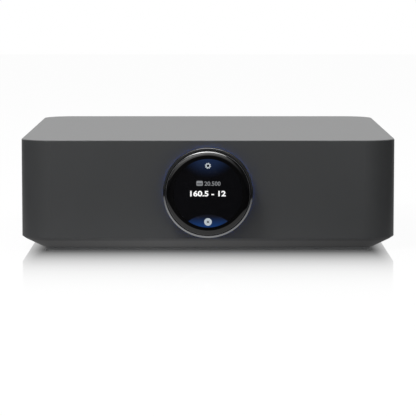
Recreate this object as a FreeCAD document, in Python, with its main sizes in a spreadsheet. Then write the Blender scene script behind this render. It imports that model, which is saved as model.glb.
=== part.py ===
import FreeCAD, Part
import math
import os
import re

import Sketcher

# A square streaming amplifier with a round touch display inside a turning dial.
# Millimetres, +Z up, the front faces -Y, the origin lies on the table under the middle of the body.

doc = FreeCAD.newDocument("StreamingAmplifier")
sheet = doc.addObject("Spreadsheet::Sheet", "Sizes")

driving_sizes = [
    # Housing, tray and foot
    ("body_width", "220", "outside, left to right"),
    ("body_depth", "220", "outside, front to back"),
    ("body_height", "65.3", "table to top"),
    ("corner_radius", "18.5", "plan corners of the sides"),
    ("top_edge", "0.4", "bevelled edge around the top"),
    ("side_wall", "3", "thickness of the four sides"),
    ("top_wall", "3", "thickness of the top"),
    ("side_bottom", "7.9", "height where the vertical sides end"),
    ("band_inset", "2.2", "how far the sloping band runs in"),
    ("band_drop", "1.5", "how far the sloping band runs down"),
    ("under_inset", "12.5", "edge of the flat underside, in from the sides"),
    ("foot_height", "1.3", "table to the flat underside"),
    ("floor_wall", "2", "thickness of the tray's floor"),
    ("tray_wall", "2", "thickness of the tray's sloping side, measured level"),
    ("lip_height", "2", "tray's lip inside the housing"),
    ("lip_wall", "2", "thickness of that lip"),
    ("drop_gap", "0.15", "gap round a piece that drops into a recess"),
    ("foot_inset", "1", "foot ring, in from the edge of the underside"),
    ("foot_width", "9", "width of the foot ring"),
    ("foot_groove", "0.7", "depth of its groove in the tray"),
    ("foot_inner_radius", "3", "inner corners of the foot ring"),
    ("foot_outer_radius", "5", "outer corners of the foot ring"),
    ("foot_edge", "0.3", "bevelled lower edges of the foot ring"),
    ("boss_inset", "18", "screw pillars, in from the sides"),
    ("boss_radius", "4.5", "screw pillars"),
    ("vent_width", "2.4", "cooling slots in the tray and the rear panel"),
    ("vent_length", "44", "cooling slots in the tray"),
    ("vent_pitch", "6", "spacing of the cooling slots"),
    ("vent_count", "9", "cooling slots under the main board"),
    ("supply_vent_count", "5", "cooling slots under the supply board"),
    ("rear_vent_length", "10", "cooling slots in the rear panel"),
    ("rear_vent_pitch", "4.9", "spacing of the cooling slots in the rear panel"),
    ("rear_vent_drop", "3", "cooling slots below the edge of the rear opening"),
    ("rear_vent_count", "9", "cooling slots in the rear panel"),
    # Screws
    ("screw_radius", "1.5", "shank of the base and board screws"),
    ("screw_gap", "0.1", "gap round a screw's shank"),
    ("head_radius", "2.8", "heads of the base and board screws"),
    ("head_height", "1.8", "heads of the base and board screws"),
    ("head_depth", "3", "how deep the base screws' heads sit in the tray"),
    ("base_screw_length", "14", "shank of a base screw"),
    ("board_screw_length", "6", "shank of a board screw"),
    ("small_screw_radius", "1.2", "shank of the dial and rear panel screws"),
    ("small_head_radius", "2.1", "heads of the dial and rear panel screws"),
    ("small_head_height", "1.1", "heads of the dial and rear panel screws"),
    ("small_head_top", "1.5", "outer end of those heads, which are tapered"),
    ("panel_screw_length", "4", "rear panel screw, over all"),
    # Dial and display: lengths are measured forward from the faceplate
    ("dial_rise", "2.95", "dial's axis above the middle of the body's height"),
    ("dial_radius", "26.1", "outside of the dial ring"),
    ("dial_gap", "1.3", "faceplate to the back of the dial ring"),
    ("dial_front", "11.5", "faceplate to the front of the dial ring"),
    ("dial_lip", "1.25", "width of the bright lip round the glass"),
    ("lip_drop", "0.45", "how far that lip slopes back to the side of the ring"),
    ("dial_edge", "0.35", "bevelled rear edge of the dial ring"),
    ("turn_gap", "0.4", "gap between turning and fixed pieces"),
    ("glass_front", "12.5", "faceplate to the front of the glass"),
    ("glass_edge_drop", "1.3", "how far the glass curves back at its edge"),
    ("glass_edge_width", "4.3", "width of the curved edge of the glass"),
    ("glass_thickness", "2.5", "glass at its middle"),
    ("screen_radius", "21.6", "display panel"),
    ("screen_thickness", "1.6", "display panel"),
    ("cup_floor", "1", "thickness of the carrier behind the display panel"),
    ("hub_radius", "17.5", "carrier's hub, the bore of the bearing"),
    ("hub_bore_radius", "12.8", "hollow of the hub, for the ribbon"),
    ("hub_step", "0.8", "hole in the front wall, smaller than that hollow"),
    ("bearing_radius", "22", "outside of the bearing's liner"),
    ("bearing_width", "5", "width of the bearing's liner"),
    ("bearing_start", "1.5", "faceplate to the bearing's liner"),
    ("bearing_shoulder", "1", "height of the shoulder that the liner rests on"),
    ("bearing_web", "0.6", "web of the dial ring in front of the liner"),
    ("sleeve_wall", "1.4", "sleeve that the liner turns on"),
    ("sleeve_flange", "20.6", "radius of the flange behind the liner"),
    ("running_gap", "0.05", "gap between the sleeve and the liner"),
    ("end_gap", "0.2", "gap at the flange, on both sides"),
    ("seat_gap", "0.04", "gap where round pieces are pushed together"),
    ("magnet_width", "1.8", "magnet ring, across its section"),
    ("magnet_depth", "1.6", "magnet ring, along the axis"),
    ("magnet_wall", "1.4", "dial ring outside the magnet ring"),
    ("light_inner", "19.6", "inner radius of the light diffuser"),
    ("light_outer", "25.1", "outer radius of the light diffuser"),
    ("light_depth", "1.5", "depth of its groove in the faceplate"),
    ("light_height", "0.7", "how far the diffuser stands out of the faceplate"),
    ("light_count", "8", "lamps and light pipes"),
    ("light_circle", "22", "radius of the circle of lamps"),
    ("pipe_radius", "1.2", "light pipes through the front wall"),
    ("lamp_side", "2", "side of a lamp"),
    ("lamp_height", "0.8", "height of a lamp"),
    ("lamp_gap", "0.3", "gap between a lamp and its light pipe"),
    ("light_board_gap", "2.6", "light board below the top wall"),
    ("board_thin", "1.2", "thickness of the light board"),
    ("fixing_circle", "15.15", "radius of the circle of carrier screws"),
    ("fixing_count", "3", "carrier screws"),
    ("fixing_pad_radius", "2.4", "pads under the light board"),
    ("fixing_grip", "4.5", "how far a carrier screw enters the hub"),
    ("sensor_length", "3", "Hall sensor"),
    ("sensor_width", "1.6", "Hall sensor"),
    ("ribbon_width", "10", "display ribbon"),
    ("ribbon_thickness", "0.3", "display ribbon"),
    ("ribbon_bend", "8", "bends of the display ribbon"),
    ("ribbon_rise", "0.4", "ribbon above the dial's axis"),
    ("ribbon_slope", "14", "sloping run of the ribbon, and its last level run"),
    ("ribbon_grip", "0.5", "ribbon inside its connector"),
    ("plug_length", "6", "ribbon connector on the main board"),
    ("plug_width", "12", "ribbon connector on the main board"),
    ("plug_height", "3", "ribbon connector on the main board"),
    # Rear panel and the row of sockets, which is spread evenly over its width
    ("panel_margin", "1.5", "rear panel, in from where the corners begin to turn"),
    ("panel_low", "10", "lower edge of the recess for the rear panel"),
    ("panel_drop", "7", "top to the upper edge of that recess"),
    ("panel_thickness", "1.5", "rear panel"),
    ("panel_radius", "3", "corners of the rear panel"),
    ("ledge", "5", "ledge that the rear panel lies on"),
    ("panel_fixing_inset", "6", "side screws of the rear panel, in from its corners"),
    ("inlet_rise", "1", "mains inlet above the rear opening's lower edge"),
    ("inlet_width", "30.4", "flange of the mains inlet"),
    ("inlet_tall", "24", "flange of the mains inlet"),
    ("inlet_flange", "2.2", "thickness of that flange"),
    ("inlet_step", "1.7", "flange, wider than the body of the inlet"),
    ("inlet_corner", "2", "corners of that flange"),
    ("inlet_depth", "20", "body of the inlet behind the panel"),
    ("inlet_cavity_width", "24", "socket of the inlet"),
    ("inlet_cavity_tall", "16.5", "socket of the inlet"),
    ("inlet_cavity_depth", "15.5", "socket of the inlet"),
    ("inlet_bevel", "5", "bevelled upper corners of the socket"),
    ("blade_spread", "14", "distance between the outer blades"),
    ("blade_shift", "2", "middle blade above and outer blades below the inlet's middle"),
    ("blade_thick", "2", "blades of the inlet"),
    ("blade_tall", "4", "blades of the inlet"),
    ("blade_length", "12.5", "blades inside the socket"),
    ("tab_length", "6", "solder tabs behind the inlet"),
    ("post_pitch", "19.05", "speaker terminals, centre to centre both ways"),
    ("post_flange_radius", "7.5", "insulator of a terminal"),
    ("post_flange", "3", "insulator of a terminal, outside the panel"),
    ("post_shank_radius", "4", "insulator through the panel"),
    ("post_back", "2.5", "insulating washer behind the panel"),
    ("post_back_radius", "6", "insulating washer behind the panel"),
    ("core_radius", "3", "threaded core of a terminal"),
    ("core_length", "20", "core outside the panel"),
    ("core_tail", "10", "core behind the panel"),
    ("nut_radius", "5", "nut on the core, across its corners"),
    ("nut_height", "3", "nut on the core"),
    ("banana_radius", "2", "socket in the core"),
    ("banana_depth", "17", "socket in the core"),
    ("thread_gap", "0.08", "gap between the cap's and the core's thread"),
    ("washer_radius", "6.4", "clamp washer of a terminal"),
    ("washer_thickness", "1.2", "clamp washer of a terminal"),
    ("clamp_gap", "0.3", "gap beside the clamp washer"),
    ("cap_radius", "7.2", "screw cap of a terminal"),
    ("cap_overhang", "0.8", "cap beyond the end of the core"),
    ("flute_radius", "1.6", "finger flutes round the cap"),
    ("flute_depth", "0.55", "finger flutes round the cap"),
    ("flute_count", "10", "finger flutes round the cap"),
    ("cap_edge", "0.6", "bevelled ends of the cap"),
    ("cap_collar", "3", "plain part of the cap before its flutes"),
    ("phono_width", "14", "housing of the phono sockets"),
    ("phono_depth", "13", "housing of the phono sockets"),
    ("phono_first", "7.6", "lower phono socket above the board"),
    ("phono_pitch", "16", "upper phono socket above the lower one"),
    ("collar_radius", "4.15", "collar of a phono socket"),
    ("collar_wall", "0.55", "collar of a phono socket"),
    ("collar_length", "9", "collar outside the panel"),
    ("collar_step", "0.25", "collar, narrower where it goes through the panel"),
    ("nose_step", "0.6", "insulator inside the collar, set back from its end"),
    ("pin_hole_radius", "1.65", "middle contact of a phono socket"),
    ("optical_width", "10", "optical socket"),
    ("optical_depth", "13.5", "optical socket behind the panel"),
    ("optical_wall", "0.9", "walls of the optical socket"),
    ("optical_cavity", "9.4", "depth of the optical socket's hollow"),
    ("flap_thickness", "0.8", "flap in the optical socket"),
    ("flap_gap", "0.3", "gap round the flap"),
    ("flap_pin_radius", "0.5", "pins of the flap"),
    ("flap_pin_length", "0.6", "pins of the flap"),
    ("flap_pin_drop", "0.7", "pins below the roof of the hollow"),
    ("flap_pin_inset", "0.9", "pins in from the mouth"),
    ("hdmi_width", "15", "HDMI socket"),
    ("hdmi_tall", "6.2", "HDMI socket"),
    ("hdmi_depth", "12", "HDMI socket"),
    ("hdmi_slope", "1.6", "bevelled lower corners of the HDMI socket"),
    ("socket_back", "1", "back wall of the HDMI and USB sockets"),
    ("metal_wall", "0.5", "sheet metal of the HDMI and USB sockets"),
    ("mouth_proud", "0.4", "sockets stand out of the panel"),
    ("tongue_gap", "2", "contact tongues, in from the mouth"),
    ("tongue_thickness", "1.2", "contact tongues"),
    ("tongue_inset", "2", "tongue of the HDMI socket, in from its walls"),
    ("lan_width", "16", "network socket"),
    ("lan_tall", "13.4", "network socket"),
    ("lan_depth", "20", "network socket"),
    ("lan_cavity_width", "11.9", "hollow of the network socket"),
    ("lan_cavity_tall", "8.2", "hollow of the network socket"),
    ("lan_cavity_depth", "14", "hollow of the network socket"),
    ("lan_cavity_low", "3", "hollow above the foot of the network socket"),
    ("latch_width", "6.2", "slot for the plug's latch"),
    ("latch_tall", "1.6", "slot for the plug's latch"),
    ("usb_width", "14", "USB socket"),
    ("usb_tall", "6.8", "USB socket"),
    ("usb_depth", "14", "USB socket"),
    ("usb_tongue_inset", "0.5", "tongue of the USB socket, in from its side walls"),
    ("usb_tongue_drop", "1.6", "tongue of the USB socket, below its top wall"),
    ("button_space", "6", "room for the setup button in the row"),
    ("button_rise", "4", "setup button above the board"),
    ("button_radius", "1.8", "setup button"),
    ("button_gap", "0.08", "gap round the setup button"),
    ("button_proud", "0.8", "setup button outside the panel"),
    ("button_collar", "0.9", "collar that keeps the button in, wider than the button"),
    ("button_collar_length", "1.2", "that collar, front to back"),
    ("button_slack", "0.2", "that collar, behind the panel"),
    ("button_edge", "0.3", "bevelled end of the button"),
    ("button_travel", "0.5", "travel of the setup button"),
    ("button_clearance", "0.3", "button to its switch, when it is pressed"),
    ("stem_radius", "1.1", "stem of the setup button"),
    ("stem_length", "2.4", "stem of the setup button"),
    ("switch_width", "6.4", "switch of the setup button"),
    ("switch_depth", "6", "switch of the setup button"),
    ("cutout_gap", "0.2", "gap between a socket and the panel's cut-out"),
    ("antenna_width", "12", "antenna boards"),
    ("antenna_thickness", "0.8", "antenna boards"),
    ("antenna_gap", "3", "antenna boards to the inlet and to the rear opening's upper edge"),
    # Boards and what stands on them
    ("board_lift", "10.2", "standoffs between the tray and the boards"),
    ("board_thickness", "1.6", "boards"),
    ("board_margin", "0.5", "supply board, in from the edge of the tray's floor"),
    ("board_gap", "2", "between neighbouring boards"),
    ("pillar_gap", "1.5", "main board to the screw pillars"),
    ("board_rear_gap", "0.5", "main board to the rear wall"),
    ("board_front", "24", "amplifier and supply boards, back from the front"),
    ("board_back", "25", "amplifier and supply boards, in front of the rear"),
    ("main_board_length", "160", "main board, front to back"),
    ("post_board_side", "8.5", "amplifier board, beyond the terminals' centres"),
    ("standoff_radius", "2.8", "standoffs"),
    ("standoff_inset", "4.5", "standoffs, in from the boards' edges"),
    ("main_fixing_front", "12", "front standoffs of the main board, behind the ribbon's connector"),
    ("main_fixing_back", "23", "rear standoffs of the main board, in front of the sockets"),
    ("module_width", "42", "streaming module"),
    ("module_length", "34", "streaming module"),
    ("module_thickness", "1", "streaming module"),
    ("module_side", "8", "streaming module, in from the main board's right edge"),
    ("module_front", "12", "streaming module, behind the main board's front edge"),
    ("shield_inset", "2", "shield, in from the module's edges"),
    ("shield_height", "3", "shield"),
    ("shield_wall", "0.4", "sheet metal of the shield"),
    ("shield_radius", "1", "corners of the shield"),
    ("chip_side", "16", "large chips"),
    ("chip_height", "2.2", "large chips"),
    ("amplifier_chips", "30", "distance between the amplifier board's chips"),
    ("processor_back", "6", "processor, behind the middle of the main board"),
    ("converter_back", "36", "converter chip, behind the middle of the main board"),
    ("part_gap", "1.6", "between neighbouring parts on a board"),
    ("part_inset", "10", "parts, in from the ends of their board"),
    ("sink_gap", "6.3", "heatsink to the parts in front of it and behind it"),
    ("sink_width", "34", "heatsink"),
    ("sink_height", "27", "heatsink"),
    ("sink_base", "4", "base of the heatsink"),
    ("fin_thickness", "1.6", "fins"),
    ("fin_count", "7", "fins"),
    ("inductor_side", "13", "output inductors"),
    ("inductor_height", "11", "output inductors"),
    ("inductor_round", "3", "corners of the output inductors"),
    ("can_radius", "6.3", "filter capacitors"),
    ("can_height", "25", "filter capacitors"),
    ("bulk_radius", "9", "bulk capacitors"),
    ("bulk_height", "36", "bulk capacitors"),
    ("can_edge", "0.8", "rolled edge of the capacitors"),
    ("core_width", "35", "transformer core"),
    ("core_tall", "29", "transformer core"),
    ("core_thick", "12", "transformer core"),
    ("core_limb", "6", "outer limbs of the transformer core"),
    ("winding_radius", "9.5", "transformer winding"),
    ("winding_gap", "0.3", "winding to the core's yokes"),
    ("choke_radius", "11", "line choke"),
    ("choke_bore", "3.5", "hole of the line choke"),
    ("choke_width", "8", "line choke, side to side"),
    ("choke_edge", "2", "bevelled edges of the line choke"),
    ("choke_inset", "14", "line choke, in from the end of its board"),
    ("strip_width", "2.4", "copper strips of the inlet and the terminals"),
    ("strip_thickness", "0.8", "copper strips"),
    ("strip_bend", "2", "bends of the copper strips"),
    ("strip_reach", "10", "inlet's strips, straight part"),
    ("strip_pitch", "4", "terminals' strips, in from the board's end and apart"),
]

for number_in_sheet, (alias, value_text, meaning) in enumerate(driving_sizes, start=1):
    sheet.set(f"A{number_in_sheet}", alias)
    sheet.set(f"B{number_in_sheet}", value_text)
    sheet.set(f"C{number_in_sheet}", meaning)
    sheet.setAlias(f"B{number_in_sheet}", alias)
doc.recompute()

aliases = {alias for alias, value_text, meaning in driving_sizes}
nodes = []


# How the pieces are drawn

def bound(text):
    """The text of a size, with each alias pointing at the sheet."""
    return re.sub(r"[a-z_]+", lambda word: "Sizes." + word[0] if word[0] in aliases else word[0], text)


def number(text):
    return float(sheet.evalExpression(text))


def tie(item, links):
    for path, text in links.items():
        item.setExpression(path, bound(text))


def node(item, label):
    """Names a finished sub-part, which is written to a file of that name."""
    item.Label = label
    nodes.append(item)
    return item


def place(item, x="0", y="0", z="0"):
    tie(item, {"Placement.Base.x": x, "Placement.Base.y": y, "Placement.Base.z": z})
    return item


def new_body(name):
    return doc.addObject("PartDesign::Body", name)


def sketch_on(body, across, offset):
    """A sketch square to the axis named by across, at that place along it."""
    role = {"x": "YZ_Plane", "y": "XZ_Plane", "z": "XY_Plane"}[across]
    plane = [feature for feature in body.Origin.OriginFeatures if feature.Role == role][0]
    sketch = body.newObject("Sketcher::SketchObject", body.Name + "_sketch")
    sketch.AttachmentSupport = [(plane, "")]
    sketch.MapMode = "FlatFace"
    facing = "-1" if across == "y" else "1"
    tie(sketch, {"AttachmentOffset.Base.z": f"{facing} * ({offset})"})
    return sketch


def dimension(sketch, kind, geometry, text):
    index = sketch.addConstraint(Sketcher.Constraint(kind, *geometry, number(text)))
    sketch.setExpression(f"Constraints[{index}]", bound(text))


def draw_circle(sketch, x, y, radius):
    centre = FreeCAD.Vector(number(x), number(y), 0)
    edge = sketch.addGeometry(Part.Circle(centre, FreeCAD.Vector(0, 0, 1), number(radius)), False)
    dimension(sketch, "DistanceX", (-1, 1, edge, 3), x)
    dimension(sketch, "DistanceY", (-1, 1, edge, 3), y)
    dimension(sketch, "Radius", (edge,), radius)


def arc_between(start, end, radius, clockwise):
    """The short arc of that radius from one point to the other."""
    middle = (start + end) / 2
    half = (end - start) / 2
    away = FreeCAD.Vector(-half.y, half.x, 0).normalize()
    rise = max(radius ** 2 - half.Length ** 2, 0) ** 0.5
    centre = middle + away * (-rise if clockwise else rise)
    first, last = (end, start) if clockwise else (start, end)
    circle = Part.Circle(centre, FreeCAD.Vector(0, 0, 1), radius)
    return Part.ArcOfCircle(circle, circle.parameter(first), circle.parameter(last))


def draw_line(sketch, corners, closed=True):
    """Joins corners: (x, y), or (x, y, radius) where an arc leads on, then True if it runs clockwise."""
    points = [FreeCAD.Vector(number(corner[0]), number(corner[1]), 0) for corner in corners]
    edges = []
    last = len(corners) if closed else len(corners) - 1
    for index in range(last):
        corner = corners[index]
        start = points[index]
        end = points[(index + 1) % len(points)]
        if len(corner) == 2:
            edges.append((sketch.addGeometry(Part.LineSegment(start, end), False), 1, 2))
            continue
        clockwise = len(corner) == 4
        arc = arc_between(start, end, number(corner[2]), clockwise)
        edge = sketch.addGeometry(arc, False)
        edges.append((edge, 2, 1) if clockwise else (edge, 1, 2))
    for index in range(last if closed else last - 1):
        edge, begin, finish = edges[index]
        follower, follower_begin, follower_finish = edges[(index + 1) % len(edges)]
        sketch.addConstraint(Sketcher.Constraint("Coincident", edge, finish, follower, follower_begin))
    for index, corner in enumerate(corners):
        edge, begin, finish = edges[min(index, last - 1)]
        end = begin if index < last else finish
        dimension(sketch, "DistanceX", (-1, 1, edge, end), corner[0])
        dimension(sketch, "DistanceY", (-1, 1, edge, end), corner[1])
        if len(corner) > 2:
            dimension(sketch, "Radius", (edge,), corner[2])


def draw(sketch, outlines):
    """A tuple is a circle (x, y, radius) and a list is a closed outline."""
    for outline in outlines:
        if isinstance(outline, tuple):
            draw_circle(sketch, *outline)
        else:
            draw_line(sketch, outline)


def rounded(left, right, low, high, radius):
    """The outline of a rectangle with round corners."""
    return [
        (f"{left} + {radius}", low),
        (f"{right} - {radius}", low, radius),
        (right, f"{low} + {radius}"),
        (right, f"{high} - {radius}", radius),
        (f"{right} - {radius}", high),
        (f"{left} + {radius}", high, radius),
        (left, f"{high} - {radius}"),
        (left, f"{low} + {radius}", radius),
    ]


def rectangle(left, right, low, high):
    return [(left, low), (right, low), (right, high), (left, high)]


def hexagon(x, y, radius):
    """Its corners lie on a circle of that radius."""
    turns = [f"({side} * 60)" for side in range(6)]
    return [(f"({x} + {radius} * sin({turn}))", f"({y} + {radius} * cos({turn}))") for turn in turns]


def spread(radius, count, start="0"):
    """Places spread evenly on a circle round the dial's axis."""
    turns = [f"(({step} + {start}) * 360 / {count})" for step in range(round(number(count)))]
    return [(f"({radius} * sin({turn}))", f"({dial_height} + {radius} * cos({turn}))") for turn in turns]


def plan(inset, radius=None):
    """The body's plan outline, moved in by an inset."""
    half_width = f"(body_width / 2 - ({inset}))"
    half_depth = f"(body_depth / 2 - ({inset}))"
    radius = radius or f"(corner_radius - ({inset}))"
    return rounded(f"-{half_width}", half_width, f"-{half_depth}", half_depth, radius)


def feature(body, kind, profile, links, settings=None):
    """Adds a feature and makes sure that it changed the solid the way it should."""
    before = body.Shape.Volume if body.Tip else 0
    item = body.newObject("PartDesign::" + kind, f"{body.Name}_{kind.lower()}")
    item.Profile = profile
    for name, value in (settings or {}).items():
        setattr(item, name, value)
    tie(item, links)
    doc.recompute()
    grown = body.Shape.Volume - before
    removes = kind in ("Pocket", "Groove", "SubtractiveLoft")
    if (grown >= 0) if removes else (grown <= 0):
        raise ValueError(f"{item.Name} did not change its body the right way: {grown}")
    return item


def pad(body, across, start, end, *outlines):
    sketch = sketch_on(body, across, end if across == "y" else start)
    draw(sketch, outlines)
    return feature(body, "Pad", sketch, {"Length": f"({end}) - ({start})"})


def pocket(body, across, start, end, *outlines):
    sketch = sketch_on(body, across, start if across == "y" else end)
    draw(sketch, outlines)
    return feature(body, "Pocket", sketch, {"Length": f"({end}) - ({start})"})


def loft(body, kind, levels):
    """A ruled loft through level outlines, each given as (height, outline)."""
    sketches = []
    for height, outline in levels:
        sketch = sketch_on(body, "z", height)
        draw(sketch, [outline])
        sketches.append(sketch)
    doc.recompute()
    return feature(body, kind, sketches[0], {}, {"Sections": sketches[1:], "Ruled": True})


def turned(name, *outlines):
    """A body turned about the local Y axis; outlines give (radius, distance forward)."""
    body = new_body(name)
    sketch = sketch_on(body, "z", "0")
    for outline in outlines:
        draw_line(sketch, [(corner[0], f"-({corner[1]})", *corner[2:]) for corner in outline])
    feature(body, "Revolution", sketch, {}, {"ReferenceAxis": (sketch, ["V_Axis"]), "Angle": 360})
    return body


def around(body, made, count):
    """Repeats a feature evenly about the local Y axis."""
    pattern = body.newObject("PartDesign::PolarPattern", body.Name + "_around")
    pattern.Originals = [made]
    pattern.Axis = (made.Profile[0], ["N_Axis"])
    pattern.Angle = 360
    tie(pattern, {"Occurrences": count})
    body.Tip = pattern
    doc.recompute()
    return pattern


def along(body, made, pitch, count):
    """Repeats a feature along its sketch's first axis."""
    pattern = body.newObject("PartDesign::LinearPattern", body.Name + "_along")
    pattern.Originals = [made]
    pattern.Direction = (made.Profile[0], ["H_Axis"])
    tie(pattern, {"Length": f"{pitch} * ({count} - 1)", "Occurrences": count})
    body.Tip = pattern
    doc.recompute()
    return pattern


def soften(body, kind, size, chosen):
    """Rounds or bevels the chosen edges of a body."""
    base = body.Tip
    names = [f"Edge{index}" for index, edge in enumerate(base.Shape.Edges, start=1) if chosen(edge)]
    item = body.newObject("PartDesign::" + kind, f"{body.Name}_{kind.lower()}")
    item.Base = (base, names)
    tie(item, {"Radius" if kind == "Fillet" else "Size": size})
    doc.recompute()
    return item


def block(name, x, y, z):
    """A box between pairs of places."""
    item = doc.addObject("Part::Box", name)
    spans = {"Length": x, "Width": y, "Height": z}
    tie(item, {side: f"({high}) - ({low})" for side, (low, high) in spans.items()})
    return place(item, x[0], y[0], z[0])


def rod(name, across, x, y, z, length, radius):
    """A cylinder that runs from a point towards +X, +Y or +Z."""
    item = doc.addObject("Part::Cylinder", name)
    turns = {"x": FreeCAD.Rotation(FreeCAD.Vector(0, 1, 0), 90), "z": FreeCAD.Rotation(),
             "y": FreeCAD.Rotation(FreeCAD.Vector(1, 0, 0), -90)}
    item.Placement = FreeCAD.Placement(FreeCAD.Vector(), turns[across])
    tie(item, {"Radius": radius, "Height": length})
    return place(item, x, y, z)


def cone(name, x, y, z, length, radius, end_radius):
    """A cone that runs from a point towards +Y."""
    item = doc.addObject("Part::Cone", name)
    item.Placement = FreeCAD.Placement(FreeCAD.Vector(), FreeCAD.Rotation(FreeCAD.Vector(1, 0, 0), -90))
    tie(item, {"Radius1": radius, "Radius2": end_radius, "Height": length})
    return place(item, x, y, z)


def fused(name, items):
    item = doc.addObject("Part::MultiFuse", name)
    item.Shapes = items
    return item


def group(name, items):
    item = doc.addObject("Part::Compound", name)
    item.Links = items
    return item


def cut(name, base, tools):
    item = doc.addObject("Part::Cut", name)
    item.Base = base
    item.Tool = tools[0] if len(tools) == 1 else fused(name + "_tools", tools)
    return item


# Planes and places that several pieces share

front_face = "(-body_depth / 2)"
rear_face = "(body_depth / 2)"
panel_inside = "(body_depth / 2 - panel_thickness)"
top_inside = "(body_height - top_wall)"
underside = "foot_height"
groove_top = "(foot_height + foot_groove)"
screw_seat = "(foot_height + foot_groove + head_depth)"
floor_top = "(foot_height + floor_wall)"
lip_inset = "(side_wall + drop_gap)"
boss_x = "(body_width / 2 - boss_inset)"
boss_y = "(body_depth / 2 - boss_inset)"
corners = [("-1", "-1"), ("1", "-1"), ("-1", "1"), ("1", "1")]
boss_places = [(f"{x} * {boss_x}", f"{y} * {boss_y}") for x, y in corners]
thread_hole = "(screw_radius + screw_gap)"
small_hole = "(small_screw_radius + screw_gap)"
dial_height = "(body_height / 2 + dial_rise)"

board_low = f"({floor_top} + board_lift)"
board_top = f"({board_low} + board_thickness)"

panel_half = "(body_width / 2 - corner_radius - panel_margin)"
window_half = f"({panel_half} - ledge)"
window_low = "(panel_low + ledge)"
window_high = "(body_height - panel_drop - ledge)"

# The row of sockets from left to right, with equal gaps between them
row_widths = {
    "inlet": "inlet_width",
    "posts": "(post_pitch + 2 * post_flange_radius)",
    "phono": "phono_width",
    "sub": "phono_width",
    "button": "button_space",
    "optical": "optical_width",
    "hdmi": "hdmi_width",
    "lan": "lan_width",
}
row_gap = f"((2 * {window_half} - {' - '.join(row_widths.values())}) / {len(row_widths) + 1})"


def row_place(name):
    """The middle of one socket in the row."""
    before = list(row_widths)[:list(row_widths).index(name)]
    taken = "".join(f" + {row_widths[other]}" for other in before)
    return f"(-{window_half} + {row_gap} * {len(before) + 1}{taken} + {row_widths[name]} / 2)"


inlet_x = row_place("inlet")
posts_x = row_place("posts")
phono_x = row_place("phono")
sub_x = row_place("sub")
button_x = row_place("button")
optical_x = row_place("optical")
hdmi_x = row_place("hdmi")
lan_x = row_place("lan")

inlet_z = f"({window_low} + inlet_tall / 2 + inlet_rise)"
posts_z = f"(({window_low} + {window_high}) / 2)"
post_places = {index: (f"({posts_x} + {x} * post_pitch / 2)", f"({posts_z} + {z} * post_pitch / 2)")
               for index, (x, z) in enumerate(corners, start=1)}
phono_places = [
    (phono_x, f"({board_top} + phono_first)"),
    (phono_x, f"({board_top} + phono_first + phono_pitch)"),
    (sub_x, f"({board_top} + phono_first)"),
]
optical_z = f"({board_top} + optical_width / 2)"
hdmi_z = f"({board_top} + hdmi_tall / 2)"
lan_top = f"({board_top} + lan_tall)"
button_z = f"({board_top} + button_rise)"
ledge_low = "(panel_low + ledge / 2)"
ledge_high = "(body_height - panel_drop - ledge / 2)"
panel_screws = [(f"{side} * ({window_half} + ledge / 2)", level)
                for side in ("-1", "1")
                for level in (f"({ledge_low} + panel_fixing_inset)", f"({ledge_high} - panel_fixing_inset)")]
panel_screws += [("0", ledge_low), ("0", ledge_high)]

# Distances forward from the faceplate, for the turned pieces of the dial
bearing_end = "(bearing_start + bearing_width)"
web_front = f"({bearing_end} + bearing_web)"
glass_back = "(glass_front - glass_thickness)"
screen_back = f"({glass_back} - screen_thickness)"
cup_back = f"({screen_back} - cup_floor)"
lip_radius = "(dial_radius - dial_lip)"
glass_radius = f"({lip_radius} - turn_gap)"
sleeve_outer = "(hub_radius + sleeve_wall)"
pad_end = "(side_wall + lamp_gap + lamp_height)"


# The housing: a shell with round corners, pillars, the rear recess and the dial's seat

def make_top_housing():
    body = new_body("housing_shell")
    pad(body, "z", "side_bottom", "body_height", plan("0"))
    top = number("body_height")
    soften(body, "Chamfer", "top_edge", lambda edge: edge.BoundBox.ZMin > top - 0.01)
    pocket(body, "z", "side_bottom", top_inside, plan("side_wall"))
    pad(body, "z", "side_bottom", top_inside, *[(x, y, "boss_radius") for x, y in boss_places])
    threads = [(x, y, thread_hole) for x, y in boss_places]
    pocket(body, "z", "side_bottom", "side_bottom + base_screw_length", *threads)
    recess = rounded(f"-{panel_half}", panel_half, "panel_low", "(body_height - panel_drop)", "panel_radius")
    pocket(body, "y", panel_inside, rear_face, recess)
    pocket(body, "y", f"{rear_face} - side_wall", rear_face,
           rectangle(f"-{window_half}", window_half, window_low, window_high))
    fixings = [(x, z, small_hole) for x, z in panel_screws]
    pocket(body, "y", f"{rear_face} - side_wall", rear_face, *fixings)

    # Seat of the dial in the front wall
    inside = f"({front_face} + side_wall)"
    light_groove = [("0", dial_height, "(light_outer + drop_gap)"),
                    ("0", dial_height, "(light_inner - drop_gap)")]
    pocket(body, "y", front_face, f"{front_face} + light_depth", *light_groove)
    pocket(body, "y", front_face, inside, ("0", dial_height, "(hub_bore_radius - hub_step)"))
    spots = spread("fixing_circle", "fixing_count")
    pad(body, "y", inside, f"{front_face} + {pad_end}", *[(x, z, "fixing_pad_radius") for x, z in spots])
    pocket(body, "y", front_face, f"{front_face} + {pad_end}", *[(x, z, small_hole) for x, z in spots])
    pipes = [(x, z, "(pipe_radius + screw_gap)") for x, z in spread("light_circle", "light_count", "0.5")]
    pocket(body, "y", front_face, inside, *pipes)
    node(body, "top_housing")


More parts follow.
